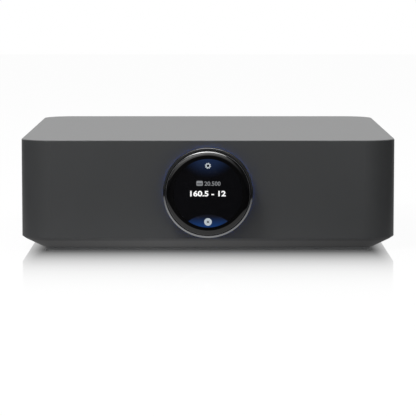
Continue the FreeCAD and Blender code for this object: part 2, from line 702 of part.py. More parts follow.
def make_base_tray():
    body = new_body("tray_shell")
    band_bottom = "(side_bottom - band_drop)"
    loft(body, "AdditiveLoft", [(underside, plan("under_inset")), (band_bottom, plan("band_inset")),
                                ("side_bottom", plan("0"))])
    lip_inner = f"({lip_inset} + lip_wall)"
    loft(body, "SubtractiveLoft", [(floor_top, plan("under_inset + tray_wall")),
                                   ("side_bottom", plan(lip_inner))])
    pad(body, "z", "side_bottom", "side_bottom + lip_height", plan(lip_inset), plan(lip_inner))
    pad(body, "z", underside, "side_bottom", *[(x, y, "boss_radius") for x, y in boss_places])
    pocket(body, "z", underside, "side_bottom", *[(x, y, thread_hole) for x, y in boss_places])
    pocket(body, "z", underside, screw_seat, *[(x, y, "(head_radius + drop_gap)") for x, y in boss_places])
    outer = plan("under_inset + foot_inset - drop_gap", "foot_outer_radius")
    inner = plan("under_inset + foot_inset + foot_width + drop_gap", "foot_inner_radius")
    pocket(body, "z", underside, groove_top, outer, inner)
    for x, count in ((main_middle, "vent_count"), (supply_middle, "supply_vent_count")):
        left = f"({x} - vent_pitch * ({count} - 1) / 2 - vent_width / 2)"
        slot = rectangle(left, f"({left} + vent_width)", "-vent_length / 2", "vent_length / 2")
        along(body, pocket(body, "z", underside, floor_top, slot), "vent_pitch", count)
    node(body, "base_tray")


def make_foot_ring():
    body = new_body("foot_rubber")
    outer = plan("under_inset + foot_inset", "foot_outer_radius")
    inner = plan("under_inset + foot_inset + foot_width", "foot_inner_radius")
    pad(body, "z", "0", groove_top, outer, inner)
    soften(body, "Chamfer", "foot_edge", lambda edge: edge.BoundBox.ZMax < number("foot_edge"))
    node(body, "foot_ring")


def make_base_screws():
    screws = []
    for index, spot in enumerate(boss_places):
        head = rod(f"base_head_{index}", "z", *spot, f"{screw_seat} - head_height", "head_height",
                   "head_radius")
        shank = rod(f"base_shank_{index}", "z", *spot, screw_seat, "base_screw_length", "screw_radius")
        screws.append(fused(f"base_screw_{index}", [head, shank]))
    node(group("base_screw_set", screws), "base_screws")


def make_rear_panel():
    body = new_body("panel_plate")
    half = f"({panel_half} - drop_gap)"
    low = "(panel_low + drop_gap)"
    high = "(body_height - panel_drop - drop_gap)"
    pad(body, "y", panel_inside, rear_face, rounded(f"-{half}", half, low, high, "(panel_radius - drop_gap)"))
    gap = "cutout_gap"

    def opening(x, width, z_low, z_high):
        return rectangle(f"({x} - {width} / 2 - {gap})", f"({x} + {width} / 2 + {gap})",
                         f"({z_low} - {gap} / 2)", f"({z_high} + {gap})")

    inlet_body = "(inlet_width - 2 * inlet_step)"
    inlet_body_tall = "(inlet_tall - 2 * inlet_step)"
    cuts = [opening(inlet_x, inlet_body, f"({inlet_z} - {inlet_body_tall} / 2)",
                    f"({inlet_z} + {inlet_body_tall} / 2)"),
            opening(optical_x, "optical_width", board_top, f"({board_top} + optical_width)"),
            opening(hdmi_x, "hdmi_width", board_top, f"({board_top} + hdmi_tall)"),
            opening(lan_x, "lan_width", board_top, f"({lan_top} + usb_tall)"),
            (button_x, button_z, "(button_radius + button_gap)")]
    cuts += [(x, z, f"(post_shank_radius + {gap})") for x, z in post_places.values()]
    cuts += [(x, z, f"(collar_radius - collar_step + {gap} / 2)") for x, z in phono_places]
    cuts += [(x, z, small_hole) for x, z in panel_screws]
    pocket(body, "y", panel_inside, rear_face, *cuts)
    left = f"({optical_x} - vent_width / 2)"
    top = f"({window_high} - rear_vent_drop)"
    slot = rectangle(left, f"({left} + vent_width)", f"({top} - rear_vent_length)", top)
    along(body, pocket(body, "y", panel_inside, rear_face, slot), "rear_vent_pitch", "rear_vent_count")
    sinks = [(x, z, "(small_head_radius + screw_gap)") for x, z in panel_screws]
    pocket(body, "y", f"{rear_face} - small_head_height / 2", rear_face, *sinks)
    node(body, "rear_panel")


def make_rear_panel_screws():
    screws = []
    seat = f"({rear_face} - small_head_height / 2)"
    for index, (x, z) in enumerate(panel_screws):
        head = cone(f"panel_head_{index}", x, seat, z, "small_head_height", "small_head_radius",
                    "small_head_top")
        length = "(panel_screw_length - small_head_height)"
        shank = rod(f"panel_shank_{index}", "y", x, f"{seat} - {length}", z, length, "small_screw_radius")
        screws.append(fused(f"panel_screw_{index}", [head, shank]))
    node(group("panel_screw_set", screws), "rear_panel_screws")


# The dial: turned pieces, drawn as radius against distance forward from the faceplate

def on_dial(item):
    return place(item, y=front_face, z=dial_height)


def make_dial_ring():
    magnet_outer = "(dial_radius - magnet_wall + seat_gap)"
    magnet_inner = "(dial_radius - magnet_wall - magnet_width - seat_gap)"
    magnet_end = "(dial_gap + magnet_depth)"
    seat = "(bearing_radius + seat_gap)"
    ring = turned("ring_turned", [
        (seat, "dial_gap"), (magnet_inner, "dial_gap"), (magnet_inner, magnet_end),
        (magnet_outer, magnet_end), (magnet_outer, "dial_gap"), ("(dial_radius - dial_edge)", "dial_gap"),
        ("dial_radius", "(dial_gap + dial_edge)"), ("dial_radius", "(dial_front - lip_drop)"),
        (lip_radius, "dial_front"), (lip_radius, web_front),
        ("(bearing_radius - bearing_shoulder)", web_front),
        ("(bearing_radius - bearing_shoulder)", bearing_end), (seat, bearing_end)])
    node(on_dial(ring), "dial_ring")
    magnet = turned("magnet_turned", rectangle("(dial_radius - magnet_wall - magnet_width)",
                                               "(dial_radius - magnet_wall)", "dial_gap", magnet_end))
    node(on_dial(magnet), "encoder_magnet")


def make_bearing():
    """A flanged steel sleeve stays on the hub, and a plastic liner in the dial ring turns on it."""
    flange_back = "(light_height + end_gap)"
    flange_front = "(bearing_start - end_gap)"
    sleeve = turned("sleeve_turned", [
        ("(hub_radius + seat_gap)", "0"), (sleeve_outer, "0"), (sleeve_outer, flange_back),
        ("sleeve_flange", flange_back), ("sleeve_flange", flange_front), (sleeve_outer, flange_front),
        (sleeve_outer, bearing_end), ("(hub_radius + seat_gap)", bearing_end)])
    node(on_dial(sleeve), "bearing_sleeve")
    liner = turned("liner_moulded", rectangle(f"({sleeve_outer} + running_gap)", "bearing_radius",
                                              "bearing_start", bearing_end))
    node(on_dial(liner), "bearing_liner")


def make_display():
    edge_drop = "glass_edge_drop"
    curve = f"((glass_edge_width ^ 2 + {edge_drop} ^ 2) / (2 * {edge_drop}))"
    glass = turned("glass_turned", [
        ("0", glass_back), (glass_radius, glass_back), (glass_radius, f"(glass_front - {edge_drop})", curve),
        (f"({glass_radius} - glass_edge_width)", "glass_front"), ("0", "glass_front")])
    node(on_dial(glass), "cover_glass")
    screen = turned("screen_turned", rectangle("0", "screen_radius", screen_back, glass_back))
    node(on_dial(screen), "display_panel")

    rim = "(screen_radius + turn_gap)"
    carrier = turned("carrier_turned", [
        ("hub_bore_radius", "0"), ("hub_radius", "0"), ("hub_radius", bearing_end),
        (sleeve_outer, bearing_end), (sleeve_outer, cup_back), (glass_radius, cup_back),
        (glass_radius, glass_back), (rim, glass_back),
        (rim, screen_back), ("hub_bore_radius", screen_back)])
    screw_hole = pocket(carrier, "y", "-(fixing_grip + turn_gap)", "0", ("0", "fixing_circle", small_hole))
    around(carrier, screw_hole, "fixing_count")
    node(on_dial(carrier), "display_carrier")

    screws = []
    head_back = f"({pad_end} + board_thin)"
    for step, (x, z) in enumerate(spread("fixing_circle", "fixing_count")):
        head = rod(f"fixing_head_{step}", "y", x, f"{front_face} + {head_back}", z, "small_head_height",
                   "small_head_radius")
        shank = rod(f"fixing_shank_{step}", "y", x, f"{front_face} - fixing_grip", z,
                    f"{head_back} + fixing_grip", "small_screw_radius")
        screws.append(fused(f"fixing_{step}", [head, shank]))
    node(group("fixing_set", screws), "carrier_screws")


def make_light():
    """The diffuser with its light pipes, and the board behind the front wall that lights them."""
    body = new_body("diffuser_moulded")
    back = f"{front_face} + light_depth"
    face = f"({front_face} + {pad_end})"
    board_radius = "(body_height / 2 - dial_rise - top_wall - light_board_gap)"
    hole = "(hub_bore_radius - hub_step)"
    lights = spread("light_circle", "light_count", "0.5")
    pad(body, "y", f"{front_face} - light_height", back, ("0", dial_height, "light_outer"),
        ("0", dial_height, "light_inner"))
    pad(body, "y", back, f"{front_face} + side_wall", *[(x, z, "pipe_radius") for x, z in lights])
    node(body, "light_diffuser")

    board = new_body("light_board_plate")
    pad(board, "y", face, f"{face} + board_thin", ("0", dial_height, board_radius), ("0", dial_height, hole))
    holes = [(x, z, small_hole) for x, z in spread("fixing_circle", "fixing_count")]
    pocket(board, "y", face, f"{face} + board_thin", *holes)
    node(board, "light_board")

    parts = [(x, z, "lamp_side", "lamp_side") for x, z in lights]
    parts += [(f"({side} * light_circle)", dial_height, "sensor_width", "sensor_length")
              for side in ("-1", "1")]
    lamps = [block(f"lamp_{index}", (f"{x} - {width} / 2", f"{x} + {width} / 2"),
                   (f"{face} - lamp_height", face), (f"{z} - {tall} / 2", f"{z} + {tall} / 2"))
             for index, (x, z, width, tall) in enumerate(parts)]
    node(group("lamp_set", lamps), "board_lamps")


def strip(name, x, route, bend, width, thickness):
    """A flat strip along a route of (y, z) corners with round bends."""
    body = new_body(name)
    spine = sketch_on(body, "x", x)
    rounded_route = [route[0]]
    for before, (y, z), after in zip(route, route[1:], route[2:]):
        points = [FreeCAD.Vector(number(a), number(b), 0) for a, b in (before, (y, z), after)]
        into = (points[0] - points[1]).normalize()
        out = (points[2] - points[1]).normalize()
        turn = into.getAngle(out)
        reach = f"({bend} / tan({math.degrees(turn) / 2}))"
        cross = into.x * out.y - into.y * out.x
        clockwise = (True,) if cross > 0 else ()
        start = (f"({y} + {reach} * {into.x})", f"({z} + {reach} * {into.y})", bend, *clockwise)
        end = (f"({y} + {reach} * {out.x})", f"({z} + {reach} * {out.y})")
        rounded_route += [start, end]
    rounded_route.append(route[-1])
    draw_line(spine, rounded_route, closed=False)
    start_y, start_z = route[0]
    section = sketch_on(body, "y", start_y)
    draw(section, [rectangle(f"({x} - {width} / 2)", f"({x} + {width} / 2)", f"({start_z} - {thickness} / 2)",
                             f"({start_z} + {thickness} / 2)")])
    doc.recompute()
    feature(body, "AdditivePipe", section, {}, {"Spine": spine})
    return body


def make_ribbon():
    start = f"({front_face} - {screen_back})"
    z = f"({dial_height} + ribbon_rise)"
    landing = f"({board_top} + plug_height / 2)"
    route = [(start, z), (f"({main_front} - 2 * ribbon_slope)", z),
             (f"({main_front} - ribbon_slope)", landing), (f"({main_front} + ribbon_grip)", landing)]
    ribbon = strip("ribbon_strip", "0", route, "ribbon_bend", "ribbon_width", "ribbon_thickness")
    node(ribbon, "display_ribbon")


# Boards, on standoffs over the tray

supply_left = "(-body_width / 2 + under_inset + tray_wall + board_margin)"
amplifier_left = f"({post_places[1][0]} - post_board_side)"
amplifier_right = f"({post_places[2][0]} + post_board_side)"
supply_right = f"({amplifier_left} - board_gap)"
main_left = f"({amplifier_right} + board_gap)"
main_right = f"({boss_x} - boss_radius - pillar_gap)"
board_front_edge = f"({front_face} + board_front)"
board_back_edge = f"({rear_face} - board_back)"
main_back = f"({rear_face} - side_wall - board_rear_gap)"
main_front = f"({main_back} - main_board_length)"
main_middle = f"(({main_left} + {main_right}) / 2)"
supply_middle = f"(({supply_left} + {supply_right}) / 2)"
amplifier_middle = posts_x
board_spans = {
    "power_supply_board": (supply_left, supply_right, board_front_edge, board_back_edge),
    "amplifier_board": (amplifier_left, amplifier_right, board_front_edge, board_back_edge),
    "main_board": (main_left, main_right, main_front, main_back),
}
board_chips = {
    "power_supply_board": [],
    "amplifier_board": ["-amplifier_chips / 2", "amplifier_chips / 2"],
    "main_board": ["processor_back", "converter_back"],
}


def standoff_spots(label):
    left, right, front, back = board_spans[label]
    is_main = label == "main_board"
    front_row = f"({front} + {'main_fixing_front' if is_main else 'standoff_inset'})"
    back_row = f"({back} - {'main_fixing_back' if is_main else 'standoff_inset'})"
    columns = (f"({left} + standoff_inset)", f"({right} - standoff_inset)")
    return [(x, y) for x in columns for y in (front_row, back_row)]


def make_boards():
    standoffs = []
    screws = []
    for label, span in board_spans.items():
        left, right, front, back = span
        body = new_body(label + "_plate")
        pad(body, "z", board_low, board_top, rectangle(left, right, front, back))
        spots = standoff_spots(label)
        pocket(body, "z", board_low, board_top, *[(x, y, thread_hole) for x, y in spots])
        if label == "main_board":
            plug = rectangle("-plug_width / 2", "plug_width / 2", front, f"({front} + plug_length)")
            pad(body, "z", board_top, f"{board_top} + plug_height", plug)
            half_width = "(ribbon_width / 2 + cutout_gap)"
            half_height = "(ribbon_thickness + cutout_gap)"
            level = f"({board_top} + plug_height / 2)"
            slot = rectangle(f"-{half_width}", half_width, f"({level} - {half_height})",
                             f"({level} + {half_height})")
            pocket(body, "y", front, f"{front} + plug_length / 2", slot)
        for shift in board_chips[label]:
            x = f"(({left} + {right}) / 2)"
            y = f"(({front} + {back}) / 2 + {shift})"
            pad(body, "z", board_top, f"{board_top} + chip_height",
                rectangle(f"({x} - chip_side / 2)", f"({x} + chip_side / 2)", f"({y} - chip_side / 2)",
                          f"({y} + chip_side / 2)"))
        node(body, label)
        for index, (x, y) in enumerate(spots):
            post = new_body(f"{label}_standoff_{index}")
            pad(post, "z", floor_top, board_low, hexagon(x, y, "standoff_radius"), (x, y, thread_hole))
            standoffs.append(post)
            screw = new_body(f"{label}_screw_{index}")
            pad(screw, "z", board_top, f"{board_top} + head_height", hexagon(x, y, "head_radius"))
            pad(screw, "z", f"{board_top} - board_screw_length", board_top, (x, y, "screw_radius"))
            screws.append(screw)
    node(group("standoff_set", standoffs), "board_standoffs")
    node(group("board_screw_set", screws), "board_screws")


def make_streaming_module():
    x = f"({main_right} - module_width / 2 - module_side)"
    y = f"({main_front} + module_length / 2 + module_front)"
    half_width = "module_width / 2"
    half_length = "module_length / 2"
    top = f"({board_top} + module_thickness)"
    board = block("module_plate", (f"{x} - {half_width}", f"{x} + {half_width}"),
                  (f"{y} - {half_length}", f"{y} + {half_length}"), (board_top, top))
    node(board, "streaming_module")
    body = new_body("shield_folded")
    outline = rounded(f"({x} - {half_width} + shield_inset)", f"({x} + {half_width} - shield_inset)",
                      f"({y} - {half_length} + shield_inset)", f"({y} + {half_length} - shield_inset)",
                      "shield_radius")
    pad(body, "z", top, f"{top} + shield_height", outline)
    inner = "shield_inset + shield_wall"
    hollow = rounded(f"({x} - {half_width} + {inner})", f"({x} + {half_width} - {inner})",
                     f"({y} - {half_length} + {inner})", f"({y} + {half_length} - {inner})",
                     "(shield_radius - shield_wall)")
    pocket(body, "z", top, f"{top} + shield_height - shield_wall", hollow)
    node(body, "module_shield")


def make_heatsink():
    body = new_body("sink_extruded")
    count = round(number("fin_count"))
    left = f"({amplifier_middle} - sink_width / 2)"
    low = f"({board_top} + chip_height)"
    outline = [(left, low), (f"({left} + sink_width)", low)]
    for step in reversed(range(count)):
        fin_left = f"({left} + {step} * (sink_width - fin_thickness) / (fin_count - 1))"
        fin_right = f"({fin_left} + fin_thickness)"
        outline.append((fin_right, f"({low} + sink_height)"))
        outline.append((fin_left, f"({low} + sink_height)"))
        if step:
            outline.append((fin_left, f"({low} + sink_base)"))
            before = f"({left} + {step - 1} * (sink_width - fin_thickness) / (fin_count - 1))"
            outline.append((f"({before} + fin_thickness)", f"({low} + sink_base)"))
    start = f"({board_front_edge} + part_inset + 4 * can_radius + part_gap + sink_gap)"
    end = f"({board_back_edge} - part_inset - 2 * inductor_side - part_gap - sink_gap)"
    pad(body, "y", start, end, outline)
    node(body, "amplifier_heatsink")


def make_amplifier_parts():
    """Two rows of two output inductors at the back, and two rows of two capacitors at the front."""
    coils = []
    cans = []
    for index, (side, end) in enumerate(corners):
        row = f"(({end} + 1) / 2)"
        x = f"({amplifier_middle} + {side} * (inductor_side + part_gap) / 2)"
        y = f"({board_back_edge} - part_inset - inductor_side / 2 - {row} * (inductor_side + part_gap))"
        half = "inductor_side / 2"
        body = new_body(f"coil_{index}")
        pad(body, "z", board_top, f"{board_top} + inductor_height",
            rounded(f"({x} - {half})", f"({x} + {half})", f"({y} - {half})", f"({y} + {half})",
                    "inductor_round"))
        coils.append(body)
        x = f"({amplifier_middle} + {side} * (can_radius + part_gap / 2))"
        y = f"({board_front_edge} + part_inset + can_radius + {row} * (2 * can_radius + part_gap))"
        cans.append(can(f"filter_can_{index}", x, y, "can_radius", "can_height"))
    node(group("coil_set", coils), "output_inductors")
    node(group("filter_can_set", cans), "filter_capacitors")


def can(name, x, y, radius, height):
    """A capacitor with a bevelled upper edge."""
    body = new_body(name)
    pad(body, "z", board_top, f"{board_top} + {height}", (x, y, radius))
    top = number(f"{board_top} + {height} - can_edge")
    soften(body, "Chamfer", "can_edge", lambda edge: edge.BoundBox.ZMin > top)
    return body


def make_supply_parts():
    middle = supply_middle
    y = f"({board_front_edge} + bulk_radius + part_inset)"
    cans = [can(f"bulk_can_{index}", f"({middle} + {side} * (bulk_radius + part_gap / 2))", y, "bulk_radius",
                "bulk_height") for index, side in enumerate(("-1", "1"))]
    node(group("bulk_can_set", cans), "bulk_capacitors")

    y = f"(({board_front_edge} + {board_back_edge}) / 2)"
    body = new_body("core_ground")
    left = f"({middle} - core_width / 2)"
    right = f"({middle} + core_width / 2)"
    high = f"({board_top} + core_tall)"
    limb = "core_limb"
    window_span = (f"({board_top} + {limb})", f"({high} - {limb})")
    windows = [rectangle(f"({left} + {limb})", f"({middle} - {limb})", *window_span),
               rectangle(f"({middle} + {limb})", f"({right} - {limb})", *window_span)]
    pad(body, "y", f"{y} - core_thick / 2", f"{y} + core_thick / 2", rectangle(left, right, board_top, high),
        *windows)
    node(body, "transformer_core")
    tube = rod("winding_outer", "z", middle, y, f"{board_top} + {limb} + winding_gap",
               f"core_tall - 2 * ({limb} + winding_gap)", "winding_radius")
    limb_hole = block("winding_hole", (f"{middle} - {limb} - screw_gap", f"{middle} + {limb} + screw_gap"),
                      (f"{y} - core_thick / 2 - screw_gap", f"{y} + core_thick / 2 + screw_gap"),
                      (board_top, high))
    node(cut("winding_wound", tube, [limb_hole]), "transformer_winding")

    choke = new_body("choke_wound")
    centre = (f"({board_back_edge} - choke_radius - choke_inset)", f"({board_top} + choke_radius)")
    pad(choke, "x", f"{middle} - choke_width / 2", f"{middle} + choke_width / 2", (*centre, "choke_radius"),
        (*centre, "choke_bore"))
    widest = number("choke_radius + choke_bore")
    soften(choke, "Chamfer", "choke_edge", lambda edge: edge.BoundBox.YLength > widest and edge.isClosed())
    node(choke, "line_choke")


# Rear sockets

def make_mains_inlet():
    front = f"({rear_face} + inlet_flange)"
    body = new_body("inlet_moulded")
    half = "(inlet_width / 2)"
    tall = "(inlet_tall / 2)"
    x = inlet_x
    z = inlet_z
    pad(body, "y", rear_face, front,
        rounded(f"({x} - {half})", f"({x} + {half})", f"({z} - {tall})", f"({z} + {tall})", "inlet_corner"))
    pad(body, "y", f"{rear_face} - inlet_depth", rear_face,
        rectangle(f"({x} - {half} + inlet_step)", f"({x} + {half} - inlet_step)",
                  f"({z} - {tall} + inlet_step)", f"({z} + {tall} - inlet_step)"))
    left = f"({x} - inlet_cavity_width / 2)"
    right = f"({x} + inlet_cavity_width / 2)"
    low = f"({z} - inlet_cavity_tall / 2)"
    high = f"({z} + inlet_cavity_tall / 2)"
    socket = [(left, low), (right, low), (right, f"({high} - inlet_bevel)"),
              (f"({right} - inlet_bevel)", high), (f"({left} + inlet_bevel)", high),
              (left, f"({high} - inlet_bevel)")]
    cavity_end = f"({front} - inlet_cavity_depth)"
    pocket(body, "y", cavity_end, front, socket)
    blades = []
    slots = []
    for index, side in enumerate(("-1", "0", "1")):
        centre_x = f"({x} + {side} * blade_spread / 2)"
        centre_z = f"({z} + (1 - 2 * {side} ^ 2) * blade_shift)"
        outline = rectangle(f"({centre_x} - blade_thick / 2)", f"({centre_x} + blade_thick / 2)",
                            f"({centre_z} - blade_tall / 2)", f"({centre_z} + blade_tall / 2)")
        slots.append(outline)
        blade = new_body(f"blade_{index}")
        pad(blade, "y", f"{rear_face} - inlet_depth - tab_length", f"{cavity_end} + blade_length", outline)
        blades.append(blade)
    pocket(body, "y", f"{rear_face} - inlet_depth", cavity_end, *slots)
    node(body, "mains_inlet")
    node(group("blade_set", blades), "inlet_pins")


def make_strips():
    """Copper strips from the inlet and from the speaker terminals down to their boards."""
    start = f"({rear_face} - inlet_depth - tab_length)"
    sides = [f"({inlet_x} + {side} * blade_spread / 2)" for side in ("-1", "1")]
    routes = {"inlet_strips": [(x, start, f"({inlet_z} - blade_shift)", f"({start} - strip_reach)")
                               for x in sides]}
    start = f"({rear_face} - core_tail)"
    routes["speaker_strips"] = [(x, start, z, f"({board_back_edge} - strip_pitch * {1 + (index > 2)})")
                                for index, (x, z) in post_places.items()]
    for label, places in routes.items():
        strips = [strip(f"{label}_{index}", x, [(begin, z), (drop, z), (drop, board_top)], "strip_bend",
                        "strip_width", "strip_thickness")
                  for index, (x, begin, z, drop) in enumerate(places)]
        node(group(label + "_set", strips), label)


def make_speaker_terminals():
    insulators = []
    cores = []
    flange_end = f"({rear_face} + post_flange)"
    core_end = f"({rear_face} + core_length)"
    for index, (x, z) in post_places.items():
        flange = rod(f"flange_{index}", "y", x, rear_face, z, "post_flange", "post_flange_radius")
        shank = rod(f"shank_{index}", "y", x, f"{panel_inside} - post_back", z, "panel_thickness + post_back",
                    "post_shank_radius")
        washer = rod(f"back_washer_{index}", "y", x, f"{panel_inside} - post_back", z, "post_back",
                     "post_back_radius")
        bore = rod(f"insulator_bore_{index}", "y", x, f"{panel_inside} - post_back", z,
                   "post_back + panel_thickness + post_flange", "core_radius + seat_gap")
        moulding = fused(f"insulator_body_{index}", [flange, shank, washer])
        insulators.append(cut(f"insulator_{index}", moulding, [bore]))

        stud = rod(f"stud_{index}", "y", x, f"{rear_face} - core_tail", z, "core_length + core_tail",
                   "core_radius")
        nut = new_body(f"nut_{index}")
        nut_front = f"({panel_inside} - post_back)"
        pad(nut, "y", f"{nut_front} - nut_height", nut_front, hexagon(x, z, "nut_radius"))
        socket = rod(f"banana_{index}", "y", x, f"{core_end} - banana_depth", z, "banana_depth",
                     "banana_radius")
        cores.append(cut(f"core_{index}", fused(f"core_body_{index}", [stud, nut]), [socket]))

        washer_start = f"({flange_end} + clamp_gap)"
        ring = new_body(f"washer_{index}")
        pad(ring, "y", washer_start, f"{washer_start} + washer_thickness", (x, z, "washer_radius"),
            (x, z, "(core_radius + thread_gap)"))
        node(ring, f"clamp_washer_{index}")
        cap_start = f"({washer_start} + washer_thickness + clamp_gap)"
        make_post_cap(index, x, z, cap_start, f"({core_end} + cap_overhang)")
    node(group("insulator_set", insulators), "post_insulators")
    node(group("core_set", cores), "post_cores")


def make_post_cap(index, x, z, start, end):
    """A fluted screw cap, open at its end for the banana socket."""
    cap = new_body(f"cap_{index}")
    pad(cap, "y", "0", f"{end} - {start}", ("0", "0", "cap_radius"), ("0", "0", "(core_radius + thread_gap)"))
    widest = number("cap_radius + core_radius")
    soften(cap, "Chamfer", "cap_edge", lambda edge: edge.BoundBox.XLength > widest)
    flute = ("0", "(cap_radius + flute_radius - flute_depth)", "flute_radius")
    around(cap, pocket(cap, "y", "cap_collar", f"{end} - {start}", flute), "flute_count")
    place(cap, x, start, z)
    node(cap, f"post_cap_{index}")


def make_phono_sockets():
    housings = []
    collars = []
    end = f"({rear_face} + collar_length)"
    for name, x, levels in (("line", phono_x, ["0", "phono_pitch"]), ("sub", sub_x, ["0"])):
        top = f"({board_top} + phono_first * 2 + {levels[-1]})"
        shell = block(f"{name}_block", (f"{x} - phono_width / 2", f"{x} + phono_width / 2"),
                      (f"{panel_inside} - phono_depth", panel_inside), (board_top, top))
        noses = []
        holes = []
        for index, level in enumerate(levels):
            z = f"({board_top} + phono_first + {level})"
            noses.append(rod(f"{name}_nose_{index}", "y", x, panel_inside, z,
                             "panel_thickness + collar_length - nose_step",
                             "collar_radius - collar_wall - seat_gap"))
            holes.append(rod(f"{name}_hole_{index}", "y", x, f"{panel_inside} - phono_depth / 2", z,
                             "phono_depth / 2 + panel_thickness + collar_length", "pin_hole_radius"))
            collar = new_body(f"{name}_collar_{index}")
            inner = (x, z, "(collar_radius - collar_wall)")
            pad(collar, "y", rear_face, end, (x, z, "collar_radius"), inner)
            pad(collar, "y", panel_inside, rear_face, (x, z, "(collar_radius - collar_step)"), inner)
            collars.append(collar)
        housings.append(cut(f"{name}_housing", fused(f"{name}_moulding", [shell, *noses]), holes))
    node(group("phono_housing_set", housings), "phono_housings")
    node(group("collar_set", collars), "phono_collars")


def make_digital_sockets():
    mouth = f"({rear_face} + mouth_proud)"

    hdmi = new_body("hdmi_folded")
    left = f"({hdmi_x} - hdmi_width / 2)"
    right = f"({hdmi_x} + hdmi_width / 2)"
    top = f"({board_top} + hdmi_tall)"

    def shell_outline(inset):
        low = f"({board_top} + {inset})"
        high = f"({top} - {inset})"
        bend = f"({low} + hdmi_slope)"
        start = f"({left} + {inset})"
        end = f"({right} - {inset})"
        return [(f"({start} + hdmi_slope)", low), (f"({end} - hdmi_slope)", low), (end, bend), (end, high),
                (start, high), (start, bend)]

    pad(hdmi, "y", f"{mouth} - hdmi_depth", mouth, shell_outline("0"))
    back = f"{mouth} - hdmi_depth + socket_back"
    pocket(hdmi, "y", back, mouth, shell_outline("metal_wall"))
    tongue = rectangle(f"({left} + metal_wall + tongue_inset)", f"({right} - metal_wall - tongue_inset)",
                       f"({hdmi_z} - tongue_thickness / 2)", f"({hdmi_z} + tongue_thickness / 2)")
    pad(hdmi, "y", back, f"{mouth} - tongue_gap", tongue)
    node(hdmi, "hdmi_socket")

    usb = new_body("usb_folded")
    left_usb = f"({lan_x} - usb_width / 2)"
    right_usb = f"({lan_x} + usb_width / 2)"
    usb_top = f"({lan_top} + usb_tall)"
    pad(usb, "y", f"{mouth} - usb_depth", mouth, rectangle(left_usb, right_usb, lan_top, usb_top))
    back = f"{mouth} - usb_depth + socket_back"
    pocket(usb, "y", back, mouth, rectangle(f"({left_usb} + metal_wall)", f"({right_usb} - metal_wall)",
                                            f"({lan_top} + metal_wall)", f"({usb_top} - metal_wall)"))
    tongue_top = f"({usb_top} - metal_wall - usb_tongue_drop)"
    tongue = rectangle(f"({left_usb} + metal_wall + usb_tongue_inset)",
                       f"({right_usb} - metal_wall - usb_tongue_inset)",
                       f"({tongue_top} - tongue_thickness)", tongue_top)
    pad(usb, "y", back, f"{mouth} - tongue_gap", tongue)
    node(usb, "usb_socket")

    lan = new_body("lan_moulded")
    pad(lan, "y", f"{mouth} - lan_depth", mouth,
        rectangle(f"({lan_x} - lan_width / 2)", f"({lan_x} + lan_width / 2)", board_top, lan_top))
    hollow_low = f"({board_top} + lan_cavity_low)"
    hollow = rectangle(f"({lan_x} - lan_cavity_width / 2)", f"({lan_x} + lan_cavity_width / 2)", hollow_low,
                       f"({hollow_low} + lan_cavity_tall)")
    latch = rectangle(f"({lan_x} - latch_width / 2)", f"({lan_x} + latch_width / 2)",
                      f"({hollow_low} - latch_tall)", hollow_low)
    pocket(lan, "y", f"{mouth} - lan_cavity_depth", mouth, hollow)
    pocket(lan, "y", f"{mouth} - lan_cavity_depth", mouth, latch)
    node(lan, "ethernet_jack")


def make_optical_socket():
    mouth = f"({rear_face} + mouth_proud)"
    x = optical_x
    high = f"({board_top} + optical_width - optical_wall)"
    low = f"({board_top} + optical_wall)"
    half = "(optical_width / 2 - optical_wall)"
    body = new_body("optical_moulded")
    pad(body, "y", f"{mouth} - optical_depth", mouth,
        rectangle(f"({x} - optical_width / 2)", f"({x} + optical_width / 2)", board_top,
                  f"({board_top} + optical_width)"))
    pocket(body, "y", f"{mouth} - optical_cavity", mouth,
           rectangle(f"({x} - {half})", f"({x} + {half})", low, high))
    pin_y = f"({mouth} - flap_pin_inset)"
    pin_z = f"({high} - flap_pin_drop)"
    reach = f"({half} + flap_pin_length + screw_gap)"
    hole = rod("flap_pin_hole", "x", f"{x} - {reach}", pin_y, pin_z, f"2 * {reach}",
               "flap_pin_radius + thread_gap")
    node(cut("optical_jack_cut", body, [hole]), "optical_jack")

    width = f"({half} - flap_gap)"
    plate = block("flap_plate", (f"{x} - {width}", f"{x} + {width}"),
                  (f"{pin_y} - flap_thickness / 2", f"{pin_y} + flap_thickness / 2"),
                  (f"{low} + flap_gap", f"{pin_z} + flap_thickness / 2"))
    pins = rod("flap_pin", "x", f"{x} - {half} - flap_pin_length", pin_y, pin_z,
               f"2 * ({half} + flap_pin_length)", "flap_pin_radius")
    node(fused("flap", [plate, pins]), "optical_flap")


def make_setup_button():
    x = button_x
    z = button_z
    collar_front = f"({panel_inside} - button_slack)"
    collar_back = f"({collar_front} - button_collar_length)"
    end = f"({rear_face} + button_proud)"
    body = turned_at("button_moulded", [
        ("0", f"({collar_back} - stem_length)"), ("stem_radius", f"({collar_back} - stem_length)"),
        ("stem_radius", collar_back), ("(button_radius + button_collar)", collar_back),
        ("(button_radius + button_collar)", collar_front), ("button_radius", collar_front),
        ("button_radius", f"({end} - button_edge)"), ("(button_radius - button_edge)", end), ("0", end)])
    node(place(body, x=x, z=z), "setup_button")

    front = f"({collar_back} - button_travel - button_clearance)"
    half = "switch_width / 2"
    case = block("switch_case", (f"{x} - {half}", f"{x} + {half}"), (f"{front} - switch_depth", front),
                 (board_top, f"{z} + {half}"))
    hole = rod("switch_hole", "y", x, f"{front} - stem_length", z, "stem_length", "stem_radius + button_gap")
    node(cut("switch_cut", case, [hole]), "button_switch")


def turned_at(name, outline):
    """A body turned about the local Y axis; the outline gives (radius, y)."""
    body = new_body(name)
    sketch = sketch_on(body, "z", "0")
    draw_line(sketch, outline)
    feature(body, "Revolution", sketch, {}, {"ReferenceAxis": (sketch, ["V_Axis"]), "Angle": 360})
    return body


